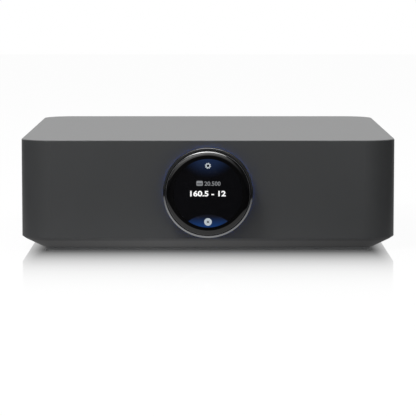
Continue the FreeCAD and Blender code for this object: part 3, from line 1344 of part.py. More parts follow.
def make_antenna_boards():
    plates = []
    inlet_top = f"({inlet_z} + inlet_tall / 2 - inlet_step)"
    for index, x in enumerate((inlet_x, sub_x)):
        plates.append(block(f"antenna_{index}", (f"{x} - antenna_width / 2", f"{x} + antenna_width / 2"),
                            (f"{panel_inside} - antenna_thickness", panel_inside),
                            (f"{inlet_top} + antenna_gap", f"{window_high} - antenna_gap")))
    node(group("antenna_set", plates), "antenna_boards")


make_top_housing()
make_base_tray()
make_foot_ring()
make_base_screws()
make_rear_panel()
make_rear_panel_screws()
make_dial_ring()
make_bearing()
make_display()
make_light()
make_ribbon()
make_boards()
make_streaming_module()
make_heatsink()
make_amplifier_parts()
make_supply_parts()
make_mains_inlet()
make_speaker_terminals()
make_strips()
make_phono_sockets()
make_digital_sockets()
make_optical_socket()
make_setup_button()
make_antenna_boards()
doc.recompute()

# Nothing is written unless every object is sound

for item in doc.Objects:
    if "Invalid" in item.State or "Error" in item.State:
        raise ValueError(f"{item.Label} failed: {item.State}")
for item in nodes:
    if item.Shape.isNull() or not item.Shape.isValid() or item.Shape.Volume <= 0:
        raise ValueError(f"{item.Label} has no sound shape")

os.makedirs("parts", exist_ok=True)
for item in nodes:
    item.Shape.exportStep(f"parts/{item.Label}.step")
print(len(nodes), "sub-parts written")
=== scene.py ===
import math

import bmesh
import bpy
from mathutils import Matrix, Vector


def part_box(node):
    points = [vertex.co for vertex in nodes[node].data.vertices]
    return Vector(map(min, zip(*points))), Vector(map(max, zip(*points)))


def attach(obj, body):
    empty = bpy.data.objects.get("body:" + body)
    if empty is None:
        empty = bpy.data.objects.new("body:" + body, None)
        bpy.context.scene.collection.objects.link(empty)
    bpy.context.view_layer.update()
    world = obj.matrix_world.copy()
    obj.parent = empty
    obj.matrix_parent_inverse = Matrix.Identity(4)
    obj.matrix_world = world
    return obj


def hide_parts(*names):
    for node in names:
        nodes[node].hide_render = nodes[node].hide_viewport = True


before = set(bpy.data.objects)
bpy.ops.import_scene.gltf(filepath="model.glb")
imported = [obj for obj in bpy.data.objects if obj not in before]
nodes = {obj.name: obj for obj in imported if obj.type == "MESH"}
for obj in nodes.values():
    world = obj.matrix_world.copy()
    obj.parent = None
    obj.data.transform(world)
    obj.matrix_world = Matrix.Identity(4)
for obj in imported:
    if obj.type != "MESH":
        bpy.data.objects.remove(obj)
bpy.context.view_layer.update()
scene = bpy.context.scene
mm = 0.001
print("frame loaded:", len(nodes), "nodes")

# places that the looks share, all read from the frame
glassLow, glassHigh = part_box("cover_glass")
footLow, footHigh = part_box("foot_ring")
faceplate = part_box("top_housing")[0].y  # the housing's front face
dialCentre = (glassLow + glassHigh) / 2
glassRadius = (glassHigh.x - glassLow.x) / 2
print("places read")

# faces that meet at less than this are shaded as one curve
smoothAngle = math.radians(30)


# colours, materials and shapes: small helpers

# sRGB hex to the linear colour that Blender works in
def hexColor(code):
    values = [int(code[i:i + 2], 16) / 255 for i in (0, 2, 4)]
    return [v / 12.92 if v <= 0.04045 else ((v + 0.055) / 1.055) ** 2.4 for v in values] + [1]


# sets a node's inputs by name or number: a node or a socket is linked, anything else is the input's own value
def setInputs(tree, node, inputs):
    for name, source in inputs.items():
        if isinstance(source, bpy.types.Node):
            source = source.outputs[0]
        if isinstance(source, bpy.types.NodeSocket):
            tree.links.new(source, node.inputs[name])
        else:
            node.inputs[name].default_value = source


# adds a node with its settings and its inputs
def addNode(tree, kind, inputs=None, **settings):
    node = tree.nodes.new(kind)
    for name, value in settings.items():
        setattr(node, name, value)
    setInputs(tree, node, inputs or {})
    return node


# a new material, with its node tree and its main shader
def newMaterial(name):
    material = bpy.data.materials.new(name)
    material.use_nodes = True
    tree = material.node_tree
    return material, tree, tree.nodes["Principled BSDF"]


# noise scale for features of that many millimetres
def perMm(size):
    return 1 / (size * mm)


# what the textured finishes share: the clouds' size in mm, the noises' detail, and a grain's depth by width
textureSet = {"clouds": 45, "cloudDetail": 2.0, "grainDetail": 4.0, "depth": 0.3}


# a finish with a fine grain, its size in mm: shade is how far the colour varies, spread is how far the
# roughness does, and the grain is felt as bump
def texturedFinish(name, color, grain, bump, roughness, spread=0.06, shade=0.12, metallic=0.0):
    material, tree, shader = newMaterial(name)
    position = addNode(tree, "ShaderNodeTexCoord").outputs["Object"]
    grains = addNode(tree, "ShaderNodeTexNoise", {
        "Vector": position, "Scale": perMm(grain), "Detail": textureSet["grainDetail"]})
    clouds = addNode(tree, "ShaderNodeTexNoise", {
        "Vector": position, "Scale": perMm(textureSet["clouds"]), "Detail": textureSet["cloudDetail"]})
    base = hexColor(color)
    dark = [c * (1 - shade) for c in base[:3]] + [1]
    light = [min(c * (1 + shade), 1) for c in base[:3]] + [1]
    both = addNode(tree, "ShaderNodeMath", {0: grains, 1: clouds}, operation="ADD")
    half = addNode(tree, "ShaderNodeMath", {0: both, 1: 0.5}, operation="MULTIPLY")
    tone = addNode(tree, "ShaderNodeMix", {0: half, 6: dark, 7: light}, data_type="RGBA")
    gloss = addNode(tree, "ShaderNodeMapRange", {
        "Value": grains, "To Min": roughness - spread, "To Max": roughness + spread})
    relief = addNode(tree, "ShaderNodeBump", {
        "Height": grains, "Strength": bump, "Distance": grain * mm * textureSet["depth"]})
    setInputs(tree, shader, {
        "Base Color": tone.outputs[2], "Roughness": gloss, "Normal": relief, "Metallic": metallic})
    return material


# gives CAD nodes their finish
def dress(material, *names):
    for name in names:
        slots = nodes[name].material_slots
        for slot in slots:
            slot.material = material
        if not slots:
            nodes[name].data.materials.append(material)


# a line through these points: one corner is pulled out from point to point, and edit mode stays on
def drawLine(points):
    bpy.ops.object.select_all(action="DESELECT")
    bpy.ops.mesh.primitive_plane_add(size=mm, location=points[0])
    line = bpy.context.object
    bpy.ops.object.transform_apply(location=True, rotation=True, scale=True)
    bpy.ops.object.mode_set(mode="EDIT")
    bpy.ops.mesh.select_mode(type="VERT")
    bpy.ops.mesh.select_all(action="SELECT")
    bpy.ops.mesh.merge(type="CENTER")
    for last, following in zip(points, points[1:]):
        move = [b - a for a, b in zip(last, following)]
        bpy.ops.mesh.extrude_vertices_move(TRANSFORM_OT_translate={"value": move})
    bpy.ops.mesh.select_all(action="SELECT")
    return line


# applies the place of a piece, gives it its finish and makes it ride on a body
def finishPiece(piece, name, material, body="root"):
    bpy.ops.object.select_all(action="DESELECT")
    piece.select_set(True)
    bpy.context.view_layer.objects.active = piece
    bpy.ops.object.transform_apply(location=True, rotation=True, scale=True)
    piece.name = name
    piece.data.materials.clear()
    piece.data.materials.append(material)
    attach(piece, body)
    return piece


# camera

# distance and height in m, pitch in radians and lens in mm: they put the object's edges in their places
cameraSet = {"distance": 1.4071, "height": 0.1636, "pitch": 0.1058, "lens": 193.3, "farthest": 20}
bpy.ops.object.camera_add(location=(0, -cameraSet["distance"], cameraSet["height"]),
                          rotation=(math.pi / 2 - cameraSet["pitch"], 0, 0))
camera = bpy.context.object
camera.data.lens = cameraSet["lens"]
camera.data.clip_end = cameraSet["farthest"]
scene.camera = camera
print("camera set")

# stage: a white floor that mirrors the object near its foot, a white room behind it, and soft light

# sizes in m; fade is how far the mirror image reaches, and it fades faster at the object's sides
floorSet = {"size": 6.0, "fade": 0.054, "fadePower": 1.27, "frontFade": 1.0, "sideFade": 5.0,
            "polish": 0.03, "shadowShare": 0.06, "shadowTone": 0.85, "bounce": 0.3}
# in m: how far the white table reaches in front of the object, how bright it is in its middle and at its
# sides, and the stretches where its front edge draws back; the table is painted light, a glow of the floor
# for the object's gloss alone
paintedTableSet = {"front": -0.205, "soft": 0.02, "dark": 0.06, "centre": -0.03, "middle": 0.66, "sides": 0.30,
            "sideAt": 0.14, "drawBack": [{"side": 1, "start": 0.035, "length": 0.065, "steepness": 1.3},
                                         {"side": 1, "start": 0.15, "length": 1.0, "steepness": 1.5},
                                         {"side": -1, "start": 0.15, "length": 1.0, "steepness": 1.5}]}


def makeFloor():
    bpy.ops.mesh.primitive_plane_add(size=floorSet["size"], location=(0, 0, footLow.z))
    floor = bpy.context.object
    floor.name = "floor"
    material = bpy.data.materials.new("glossy white acrylic")
    material.use_nodes = True
    tree = material.node_tree
    tree.nodes.clear()
    position = addNode(tree, "ShaderNodeTexCoord").outputs["Object"]
    place = addNode(tree, "ShaderNodeSeparateXYZ", {"Vector": position})

    # the mirror image fades with the distance from the foot's outline
    outside = []
    for axis, edge, steeper in (("X", footHigh.x, floorSet["sideFade"]),
                                ("Y", footHigh.y, floorSet["frontFade"])):
        size = addNode(tree, "ShaderNodeMath", {0: place.outputs[axis]}, operation="ABSOLUTE")
        over = addNode(tree, "ShaderNodeMath", {0: size, 1: edge}, operation="SUBTRACT")
        positive = addNode(tree, "ShaderNodeMath", {0: over, 1: 0}, operation="MAXIMUM")
        scaled = addNode(tree, "ShaderNodeMath", {0: positive, 1: steeper}, operation="MULTIPLY")
        outside.append(addNode(tree, "ShaderNodeMath", {0: scaled, 1: scaled}, operation="MULTIPLY"))
    total = addNode(tree, "ShaderNodeMath", {0: outside[0], 1: outside[1]}, operation="ADD")
    away = addNode(tree, "ShaderNodeMath", {0: total}, operation="SQRT")
    share = addNode(tree, "ShaderNodeMath", {0: away, 1: floorSet["fade"]}, operation="DIVIDE")
    bent = addNode(tree, "ShaderNodeMath", {0: share, 1: floorSet["fadePower"]}, operation="POWER")
    negative = addNode(tree, "ShaderNodeMath", {0: bent, 1: -1}, operation="MULTIPLY")
    mirror = addNode(tree, "ShaderNodeMath", {0: negative}, operation="EXPONENT")

    # what the camera sees: white with a little of the shadow, and the mirror image over it
    white = hexColor("ffffff")
    glow = addNode(tree, "ShaderNodeEmission", {"Color": white, "Strength": 1.0})
    lit = addNode(tree, "ShaderNodeBsdfDiffuse", {"Color": [floorSet["shadowTone"]] * 3 + [1]})
    base = addNode(tree, "ShaderNodeMixShader", {0: floorSet["shadowShare"], 1: glow, 2: lit})
    gloss = addNode(tree, "ShaderNodeBsdfGlossy", {"Color": white, "Roughness": floorSet["polish"]})
    seen = addNode(tree, "ShaderNodeMixShader", {0: mirror, 1: base, 2: gloss})

    # what the object's own gloss sees: painted light, the floor glowing as a white table, dimmer at its sides
    # and dark beyond a front edge that draws back at its sides
    edge = place.outputs["Y"]
    for stretch in paintedTableSet["drawBack"]:
        back = addNode(tree, "ShaderNodeMapRange", {
            "Value": place.outputs["X"], "From Min": stretch["side"] * stretch["start"],
            "From Max": stretch["side"] * (stretch["start"] + stretch["length"]),
            "To Max": stretch["length"] * stretch["steepness"]})
        edge = addNode(tree, "ShaderNodeMath", {0: edge, 1: back}, operation="SUBTRACT")
    front = addNode(tree, "ShaderNodeMapRange", {
        "Value": edge, "From Min": paintedTableSet["front"] - paintedTableSet["soft"], "From Max": paintedTableSet["front"],
        "To Min": paintedTableSet["dark"]}, interpolation_type="SMOOTHSTEP")
    offset = addNode(tree, "ShaderNodeMath", {0: place.outputs["X"], 1: paintedTableSet["centre"]},
                     operation="SUBTRACT")
    sideways = addNode(tree, "ShaderNodeMath", {0: offset}, operation="ABSOLUTE")
    across = addNode(tree, "ShaderNodeMapRange", {
        "Value": sideways, "From Max": paintedTableSet["sideAt"], "To Min": paintedTableSet["middle"],
        "To Max": paintedTableSet["sides"]})
    bright = addNode(tree, "ShaderNodeMath", {0: front, 1: across}, operation="MULTIPLY")
    paintedTable = addNode(tree, "ShaderNodeEmission", {"Color": white, "Strength": bright})

    # to all other light the floor is a dull grey, so that it throws little back
    dull = addNode(tree, "ShaderNodeBsdfDiffuse", {"Color": [floorSet["bounce"]] * 3 + [1]})
    ray = addNode(tree, "ShaderNodeLightPath")
    bounced = addNode(tree, "ShaderNodeMixShader", {0: ray.outputs["Is Glossy Ray"], 1: dull, 2: paintedTable})
    every = addNode(tree, "ShaderNodeMixShader", {0: ray.outputs["Is Camera Ray"], 1: bounced, 2: seen})
    addNode(tree, "ShaderNodeOutputMaterial", {"Surface": every})
    floor.data.materials.append(material)


# fill is the even light on colours and dark is the room's own shade; the white lies between the other pairs,
# where 0 is a direction square to the axis and 1 is along it
roomSet = {"fill": 0.70, "dark": 0.05, "behindFrom": 0.0, "behindTo": 0.4, "sideFrom": 0.8, "sideTo": 0.35}


# white behind the object for the eye and for its gloss, darker in front, and an even fill for its colours
def makeWorld():
    world = bpy.data.worlds.new("studio")
    scene.world = world
    world.use_nodes = True
    tree = world.node_tree
    tree.nodes.clear()
    position = addNode(tree, "ShaderNodeTexCoord").outputs["Generated"]
    direction = addNode(tree, "ShaderNodeSeparateXYZ", {"Vector": position})
    behind = addNode(tree, "ShaderNodeMapRange", {
        "Value": direction.outputs["Y"], "From Min": roomSet["behindFrom"], "From Max": roomSet["behindTo"]},
        interpolation_type="SMOOTHSTEP")
    sideways = addNode(tree, "ShaderNodeMath", {0: direction.outputs["X"]}, operation="ABSOLUTE")
    middle = addNode(tree, "ShaderNodeMapRange", {
        "Value": sideways, "From Min": roomSet["sideFrom"], "From Max": roomSet["sideTo"]},
        interpolation_type="SMOOTHSTEP")
    both = addNode(tree, "ShaderNodeMath", {0: behind, 1: middle}, operation="MULTIPLY")
    bright = addNode(tree, "ShaderNodeMapRange", {"Value": both, "To Min": roomSet["dark"]})
    ray = addNode(tree, "ShaderNodeLightPath")
    white = hexColor("ffffff")
    fill = addNode(tree, "ShaderNodeBackground", {"Color": white, "Strength": roomSet["fill"]})
    room = addNode(tree, "ShaderNodeBackground", {"Color": white, "Strength": bright})
    plain = addNode(tree, "ShaderNodeBackground", {"Color": white, "Strength": 1.0})
    glossy = addNode(tree, "ShaderNodeMixShader", {0: ray.outputs["Is Glossy Ray"], 1: fill, 2: room})
    through = addNode(tree, "ShaderNodeMixShader", {
        0: ray.outputs["Is Transmission Ray"], 1: glossy, 2: plain})
    every = addNode(tree, "ShaderNodeMixShader", {0: ray.outputs["Is Camera Ray"], 1: through, 2: plain})
    addNode(tree, "ShaderNodeOutputWorld", {"Surface": every})


# places, widths and depths in m, powers in W, and the angle in degrees that the light spreads over
dialFront = (0, -0.12, 0.036)
lampSet = {
    # three long reflectors, only seen in gloss: the curved glass shows them as a bright arc with a soft edge
    "long reflector": {"place": (-0.17, -0.75, 0.80), "target": dialFront, "wide": 1.25, "deep": 0.16,
                       "power": 2.45, "spread": 75, "seenBy": "gloss"},
    "soft reflector": {"place": (-0.17, -0.95, 0.56), "target": dialFront, "wide": 1.4, "deep": 0.28,
                       "power": 0.5, "spread": 75, "seenBy": "gloss"},
    "low reflector": {"place": (-0.17, -1.05, 0.32), "target": dialFront, "wide": 1.4, "deep": 0.28,
                      "power": 0.2, "spread": 75, "seenBy": "gloss"},
    # the dial's shadow falls to the lower right, away from this one
    "key light": {"place": (-0.36, -0.56, 0.86), "target": dialFront, "wide": 0.36, "deep": 0.36,
                  "power": 5.7, "spread": 180, "seenBy": "colour"},
    "overhead light": {"place": (0.0, 0.55, 1.2), "target": (0, 0, 0), "wide": 0.8, "deep": 0.8,
                       "power": 4.0, "spread": 180, "seenBy": "both"},
}


# a rectangular lamp that points at its target
def addLamp(name, sizes):
    direction = Vector(sizes["target"]) - Vector(sizes["place"])
    bpy.ops.object.light_add(type="AREA", location=sizes["place"],
                             rotation=direction.to_track_quat("-Z", "Y").to_euler())
    lamp = bpy.context.object
    lamp.name = name
    lamp.data.shape = "RECTANGLE"
    lamp.data.size = sizes["wide"]
    lamp.data.size_y = sizes["deep"]
    lamp.data.energy = sizes["power"]
    lamp.data.spread = math.radians(sizes["spread"])
    lamp.visible_diffuse = sizes["seenBy"] != "gloss"
    lamp.visible_glossy = sizes["seenBy"] != "colour"


makeFloor()
makeWorld()
for lampName, lampSizes in lampSet.items():
    addLamp(lampName, lampSizes)
scene.view_settings.view_transform = "Standard"
print("stage and lights set")

# finishes of the CAD nodes: each grain is in mm and drawn coarser than the real one, so that it shows

# bead-blasted and anodised: dark and satin, with an even grain that only shows as softness in the gloss
dress(texturedFinish("anodised aluminium", "3e3f40", grain=0.35, bump=0.05, roughness=0.37, spread=0.03,
                     shade=0.03), "top_housing")
# powder-coated: the housing's grey painted darker, as painted shade for its down-facing chamfer, with a
# slightly coarser and duller skin
dress(texturedFinish("powder-coated aluminium", "303133", grain=0.6, bump=0.10, roughness=0.46, spread=0.04,
                     shade=0.04), "base_tray")
# moulded rubber, paler than the tray above it: a soft grey without a sharp highlight; its grey is painted
# lighter than black rubber, as painted light for the foot in the body's shade
dress(texturedFinish("moulded rubber", "828385", grain=0.8, bump=0.15, roughness=0.4), "foot_ring")
# moulded with a fine texture: nearly black and matt, so that the metal of the sockets stands out
dress(texturedFinish("moulded polycarbonate", "1c1d1f", grain=0.5, bump=0.18, roughness=0.55), "rear_panel")
# filled with glass fibre: black and half matt, with the slight mottle of the fibres
dress(texturedFinish("glass-filled nylon", "121315", grain=0.4, bump=0.12, roughness=0.48),
      "mains_inlet", "phono_housings", "ethernet_jack", "optical_jack", "optical_flap", "setup_button",
      "button_switch")
# polished: black, with a bright line along each flute
dress(texturedFinish("polished acetal", "101113", grain=1.2, bump=0.03, roughness=0.22),
      "post_insulators", "clamp_washer_1", "clamp_washer_2", "clamp_washer_3", "clamp_washer_4",
      "post_cap_2", "post_cap_4")
# the same polish in the red that marks two of the terminals
dress(texturedFinish("red acetal", "8e1414", grain=1.2, bump=0.03, roughness=0.24),
      "post_cap_1", "post_cap_3")
# plated over turned brass: warm and smooth, almost a mirror
goldFinish = texturedFinish("gold plating", "d9b56a", grain=0.9, bump=0.04, roughness=0.24, metallic=1.0)
dress(goldFinish, "post_cores", "phono_collars")
# plated: a pale, slightly warm mirror
dress(texturedFinish("nickel plating", "c2bfb8", grain=0.9, bump=0.04, roughness=0.22, metallic=1.0),
      "inlet_pins")
# zinc-plated: cool grey, with a soft gloss
dress(texturedFinish("zinc-plated steel", "a9abad", grain=0.7, bump=0.06, roughness=0.32, metallic=1.0),
      "board_screws", "carrier_screws", "bearing_sleeve")
# chemically blackened: so dark that the heads only show by their gloss
dress(texturedFinish("blackened steel", "2a2b2d", grain=0.7, bump=0.06, roughness=0.38, metallic=0.9),
      "base_screws", "rear_panel_screws")
# tinned and pressed: a pale grey metal with a slightly uneven gloss
dress(texturedFinish("tinned sheet", "b9bab6", grain=0.8, bump=0.05, roughness=0.3, metallic=1.0),
      "module_shield", "inlet_strips", "speaker_strips")
# turned on a lathe: yellow metal with a soft gloss
dress(texturedFinish("turned brass", "c8a251", grain=0.6, bump=0.05, roughness=0.3, metallic=1.0),
      "board_standoffs")
# sintered and ground: dark, dry and grainy like stone
dress(texturedFinish("ground ferrite", "2b2b2d", grain=0.5, bump=0.2, roughness=0.6),
      "encoder_magnet", "transformer_core", "output_inductors")
# a lacquer over copper and glass fibre: a glossy green, cloudy where copper lies under it
dress(texturedFinish("green solder mask", "123a22", grain=2.0, bump=0.05, roughness=0.35, shade=0.2),
      "main_board", "amplifier_board", "power_supply_board")
# the same lacquer in black
dress(texturedFinish("black solder mask", "141516", grain=2.0, bump=0.05, roughness=0.35, shade=0.2),
      "light_board", "streaming_module", "antenna_boards")
# shrunk tight on the capacitors: dark, smooth and glossy
dress(texturedFinish("shrink sleeve", "15161c", grain=3.0, bump=0.03, roughness=0.25),
      "bulk_capacitors", "filter_capacitors")
# wound wire under clear enamel: a brown-red metal, rough with its turns
dress(texturedFinish("enamelled copper", "9c5a2a", grain=0.8, bump=0.3, roughness=0.35, metallic=0.8),
      "line_choke")
# wrapped film: smooth yellow, with a soft gloss
dress(texturedFinish("polyester tape", "c8a63a", grain=4.0, bump=0.05, roughness=0.3), "transformer_winding")
# laminated film: smooth amber
dress(texturedFinish("polyimide ribbon", "a86a1e", grain=5.0, bump=0.03, roughness=0.28), "display_ribbon")
# uncoloured: off-white and waxy
dress(texturedFinish("natural acetal", "d8d4c4", grain=1.0, bump=0.06, roughness=0.42), "bearing_liner")
# moulded matt black: it takes nearly all the light behind the glass, so that the rim stays black
dress(texturedFinish("matt black polycarbonate", "0c0d0e", grain=0.6, bump=0.1, roughness=0.6),
      "display_carrier", "display_panel")
# cast round the chip: bluish white and smooth
dress(texturedFinish("epoxy lamp package", "dfe6ff", grain=0.6, bump=0.02, roughness=0.3), "board_lamps")
# extruded and anodised: black metal with a dull sheen along its fins
dress(texturedFinish("black anodised extrusion", "1a1b1c", grain=0.5, bump=0.08, roughness=0.45,
                     metallic=0.6), "amplifier_heatsink")
print("plain finishes given")

# two sockets of bright pressed metal, each with a moulded tongue inside it, whose place is given in mm from
# the shell's top and sides
shellSet = {"color": "b9bab6", "grain": 0.8, "detail": 3.0, "smoothest": 0.25, "roughest": 0.38}
tongueSet = {"usb_socket": {"finish": "tinned shell with a pale tongue", "top": 2.05, "foot": 3.35,
                            "side": 0.95, "color": "d9d6cc"},
             "hdmi_socket": {"finish": "tinned shell with a black tongue", "top": 2.45, "foot": 3.75,
                             "side": 2.45, "color": "141517"}}


# tinned steel: bright, with a slightly uneven gloss, and duller plastic where the tongue is
def makeSocketFinish(name, sizes):
    low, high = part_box(name)
    material, tree, shader = newMaterial(sizes["finish"])
    position = addNode(tree, "ShaderNodeTexCoord").outputs["Object"]
    place = addNode(tree, "ShaderNodeSeparateXYZ", {"Vector": position})
    limits = [("X", "GREATER_THAN", low.x + sizes["side"] * mm),
              ("X", "LESS_THAN", high.x - sizes["side"] * mm),
              ("Z", "GREATER_THAN", high.z - sizes["foot"] * mm),
              ("Z", "LESS_THAN", high.z - sizes["top"] * mm)]
    tongue = 1.0
    for axis, way, limit in limits:
        inside = addNode(tree, "ShaderNodeMath", {0: place.outputs[axis], 1: limit}, operation=way)
        tongue = addNode(tree, "ShaderNodeMath", {0: tongue, 1: inside}, operation="MULTIPLY")
    metal = addNode(tree, "ShaderNodeMath", {0: 1.0, 1: tongue}, operation="SUBTRACT")
    tone = addNode(tree, "ShaderNodeMix", {
        0: tongue, 6: hexColor(shellSet["color"]), 7: hexColor(sizes["color"])}, data_type="RGBA")
    grains = addNode(tree, "ShaderNodeTexNoise", {
        "Vector": position, "Scale": perMm(shellSet["grain"]), "Detail": shellSet["detail"]})
    gloss = addNode(tree, "ShaderNodeMapRange", {
        "Value": grains, "To Min": shellSet["smoothest"], "To Max": shellSet["roughest"]})
    setInputs(tree, shader, {"Base Color": tone.outputs[2], "Metallic": metal, "Roughness": gloss})
    return material


for socket, sizes in tongueSet.items():
    dress(makeSocketFinish(socket, sizes), socket)

# the sprung contacts of the network socket: sizes in mm, the path from the mouth and the hollow's ceiling
contactSet = {"count": 8, "pitch": 1.02, "width": 0.46, "thick": 0.3, "ceiling": 11.2,
              "path": [(1.6, 0.2), (3.2, 0.7), (8.4, 2.7), (9.4, 2.8), (10.2, 2.4)]}


def makeContacts():
    low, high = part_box("ethernet_jack")
    sizes = contactSet
    start = (low.x + high.x) / 2 - ((sizes["count"] - 1) * sizes["pitch"] + sizes["width"]) / 2 * mm
    contact = drawLine([(start, high.y - inward * mm, low.z + (sizes["ceiling"] - down) * mm)
                        for inward, down in sizes["path"]])
    bpy.ops.mesh.extrude_edges_move(TRANSFORM_OT_translate={"value": (sizes["width"] * mm, 0, 0)})
    bpy.ops.object.mode_set(mode="OBJECT")
    thickness = contact.modifiers.new("thickness", "SOLIDIFY")
    thickness.thickness = sizes["thick"] * mm
    bpy.ops.object.modifier_apply(modifier="thickness")
    bpy.ops.object.mode_set(mode="EDIT")
    bpy.ops.mesh.select_all(action="SELECT")
    bpy.ops.mesh.normals_make_consistent(inside=False)
    bpy.ops.object.mode_set(mode="OBJECT")
    copies = [contact]
    for index in range(1, sizes["count"]):
        other = contact.copy()
        other.data = contact.data.copy()
        other.location.x = index * sizes["pitch"] * mm
        bpy.context.collection.objects.link(other)
        copies.append(other)
    for other in copies:
        other.select_set(True)
    bpy.context.view_layer.objects.active = contact
    bpy.ops.object.join()
    finishPiece(contact, "network_contacts", goldFinish)


makeContacts()
print("rear sockets made")

# anodised black over a fine blast: satin sides, a little brighter where they turn to the light
dialFinish = texturedFinish("black anodised aluminium", "17181a", grain=0.4, bump=0.02, roughness=0.34,
                            spread=0.02, shade=0.03, metallic=1.0)
# the anodising is turned away on the bevel with a diamond, which leaves a smooth grey lip round the glass
lipFinish = texturedFinish("diamond-cut aluminium", "9fa0a2", grain=0.4, bump=0.005, roughness=0.12,
                           spread=0.01, shade=0.03, metallic=1.0)
dress(dialFinish, "dial_ring")

# distances from the faceplate and from the axis, in mm
ringSet = {"back": 1.3, "front": 11.5, "outer": 26.1, "bore": 24.85, "backBevel": 0.35, "bevel": 1.1,
           "outerRound": 0.4, "seat": 22.04, "seatEnd": 6.5, "shoulder": 21.0, "web": 7.1,
           "grooveIn": 22.86, "grooveOut": 24.74, "grooveEnd": 2.9, "corners": 192, "steps": 4,
           "merge": 0.002}


# the dial ring with its bright bevel: the section is drawn corner by corner and spun round the dial's axis
def makeRing():
    sizes = ringSet
    radius = sizes["outerRound"]
    bevelOut = (sizes["outer"], sizes["front"] - sizes["bevel"])
    # the small round before the 45 degree bevel starts this share of its radius from their corner
    reach = math.tan(math.pi / 8)
    turns = [step / sizes["steps"] * math.pi / 4 for step in range(sizes["steps"] + 1)]
    section = [(sizes["seat"], sizes["back"]), (sizes["grooveIn"], sizes["back"]),
               (sizes["grooveIn"], sizes["grooveEnd"]), (sizes["grooveOut"], sizes["grooveEnd"]),
               (sizes["grooveOut"], sizes["back"]), (sizes["outer"] - sizes["backBevel"], sizes["back"]),
               (sizes["outer"], sizes["back"] + sizes["backBevel"])]
    section += [(bevelOut[0] - radius * (1 - math.cos(turn)), bevelOut[1] - radius * (reach - math.sin(turn)))
                for turn in turns]
    section += [(sizes["outer"] - sizes["bevel"], sizes["front"]), (sizes["bore"], sizes["front"]),
                (sizes["bore"], sizes["web"]), (sizes["shoulder"], sizes["web"]),
                (sizes["shoulder"], sizes["seatEnd"]), (sizes["seat"], sizes["seatEnd"])]
    ring = drawLine([(out * mm, faceplate - forward * mm, dialCentre.z)
                     for out, forward in section + section[:1]])
    bpy.ops.mesh.remove_doubles(threshold=sizes["merge"] * mm)
    bpy.ops.mesh.spin(steps=sizes["corners"], angle=2 * math.pi, center=(0, 0, dialCentre.z), axis=(0, 1, 0))
    bpy.ops.mesh.select_all(action="SELECT")
    bpy.ops.mesh.remove_doubles(threshold=sizes["merge"] * mm)
    bpy.ops.mesh.normals_make_consistent(inside=False)
    bpy.ops.object.mode_set(mode="OBJECT")
    bpy.ops.object.shade_smooth_by_angle(angle=smoothAngle)
    finishPiece(ring, "dial_ring_cut", dialFinish, body="dial")
    # the bevel and the narrow flat inside it are the bright lip
    ring.data.materials.append(lipFinish)
    lipStart = faceplate - (bevelOut[1] - radius * reach) * mm
    for face in ring.data.polygons:
        away = math.hypot(face.center.x, face.center.z - dialCentre.z)
        if face.center.y < lipStart and away > sizes["bore"] * mm:
            face.material_index = 1
    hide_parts("dial_ring")


makeRing()
print("dial ring made")

# sizes in mm; the rim is printed black behind the glass up to the window, and its outermost edge is matt grey
glassSet = {"edgeWidth": 3.0, "edgeDrop": 0.9, "rings": 12, "rim": 0.25, "rimRings": 5, "corners": 192,
            "flat": 0.4, "window": 20.0, "greyLineFrom": 24.22, "edgeColor": "48494b", "edgeRoughness": 0.5,
            "printColor": "040405", "smears": 9, "smearDetail": 2.0, "smoothest": 0.02, "roughest": 0.06,
            "ior": 1.65}


# hard polished glass: clear over the screen, black over the print, and a thin matt grey line at its edge;
# its coating mirrors more than bare glass does, so its index is higher
def makeGlassFinish():
    material, tree, shader = newMaterial("cover glass")
    position = addNode(tree, "ShaderNodeTexCoord").outputs["Object"]
    place = addNode(tree, "ShaderNodeSeparateXYZ", {"Vector": position})
    flat = addNode(tree, "ShaderNodeCombineXYZ", {"X": place.outputs["X"], "Z": place.outputs["Z"]})
    away = addNode(tree, "ShaderNodeVectorMath", {0: flat, 1: (0, 0, dialCentre.z)},
                   operation="DISTANCE").outputs["Value"]
    clear = addNode(tree, "ShaderNodeMath", {0: away, 1: glassSet["window"] * mm}, operation="LESS_THAN")
    greyLine = addNode(tree, "ShaderNodeMath", {0: away, 1: glassSet["greyLineFrom"] * mm},
                     operation="GREATER_THAN")
    rim = addNode(tree, "ShaderNodeMix", {
        0: greyLine, 6: hexColor(glassSet["printColor"]), 7: hexColor(glassSet["edgeColor"])}, data_type="RGBA")
    tone = addNode(tree, "ShaderNodeMix", {
        0: clear, 6: rim.outputs[2], 7: hexColor("ffffff")}, data_type="RGBA")
    smears = addNode(tree, "ShaderNodeTexNoise", {
        "Vector": position, "Scale": perMm(glassSet["smears"]), "Detail": glassSet["smearDetail"]})
    polish = addNode(tree, "ShaderNodeMapRange", {
        "Value": smears, "To Min": glassSet["smoothest"], "To Max": glassSet["roughest"]})
    matt = addNode(tree, "ShaderNodeMath", {0: greyLine, 1: glassSet["edgeRoughness"]}, operation="MULTIPLY")
    roughness = addNode(tree, "ShaderNodeMath", {0: polish, 1: matt}, operation="MAXIMUM")
    setInputs(tree, shader, {"Base Color": tone.outputs[2], "Transmission Weight": clear,
                             "Roughness": roughness, "IOR": glassSet["ior"]})
    return material


glassFinish = makeGlassFinish()
dress(glassFinish, "cover_glass")


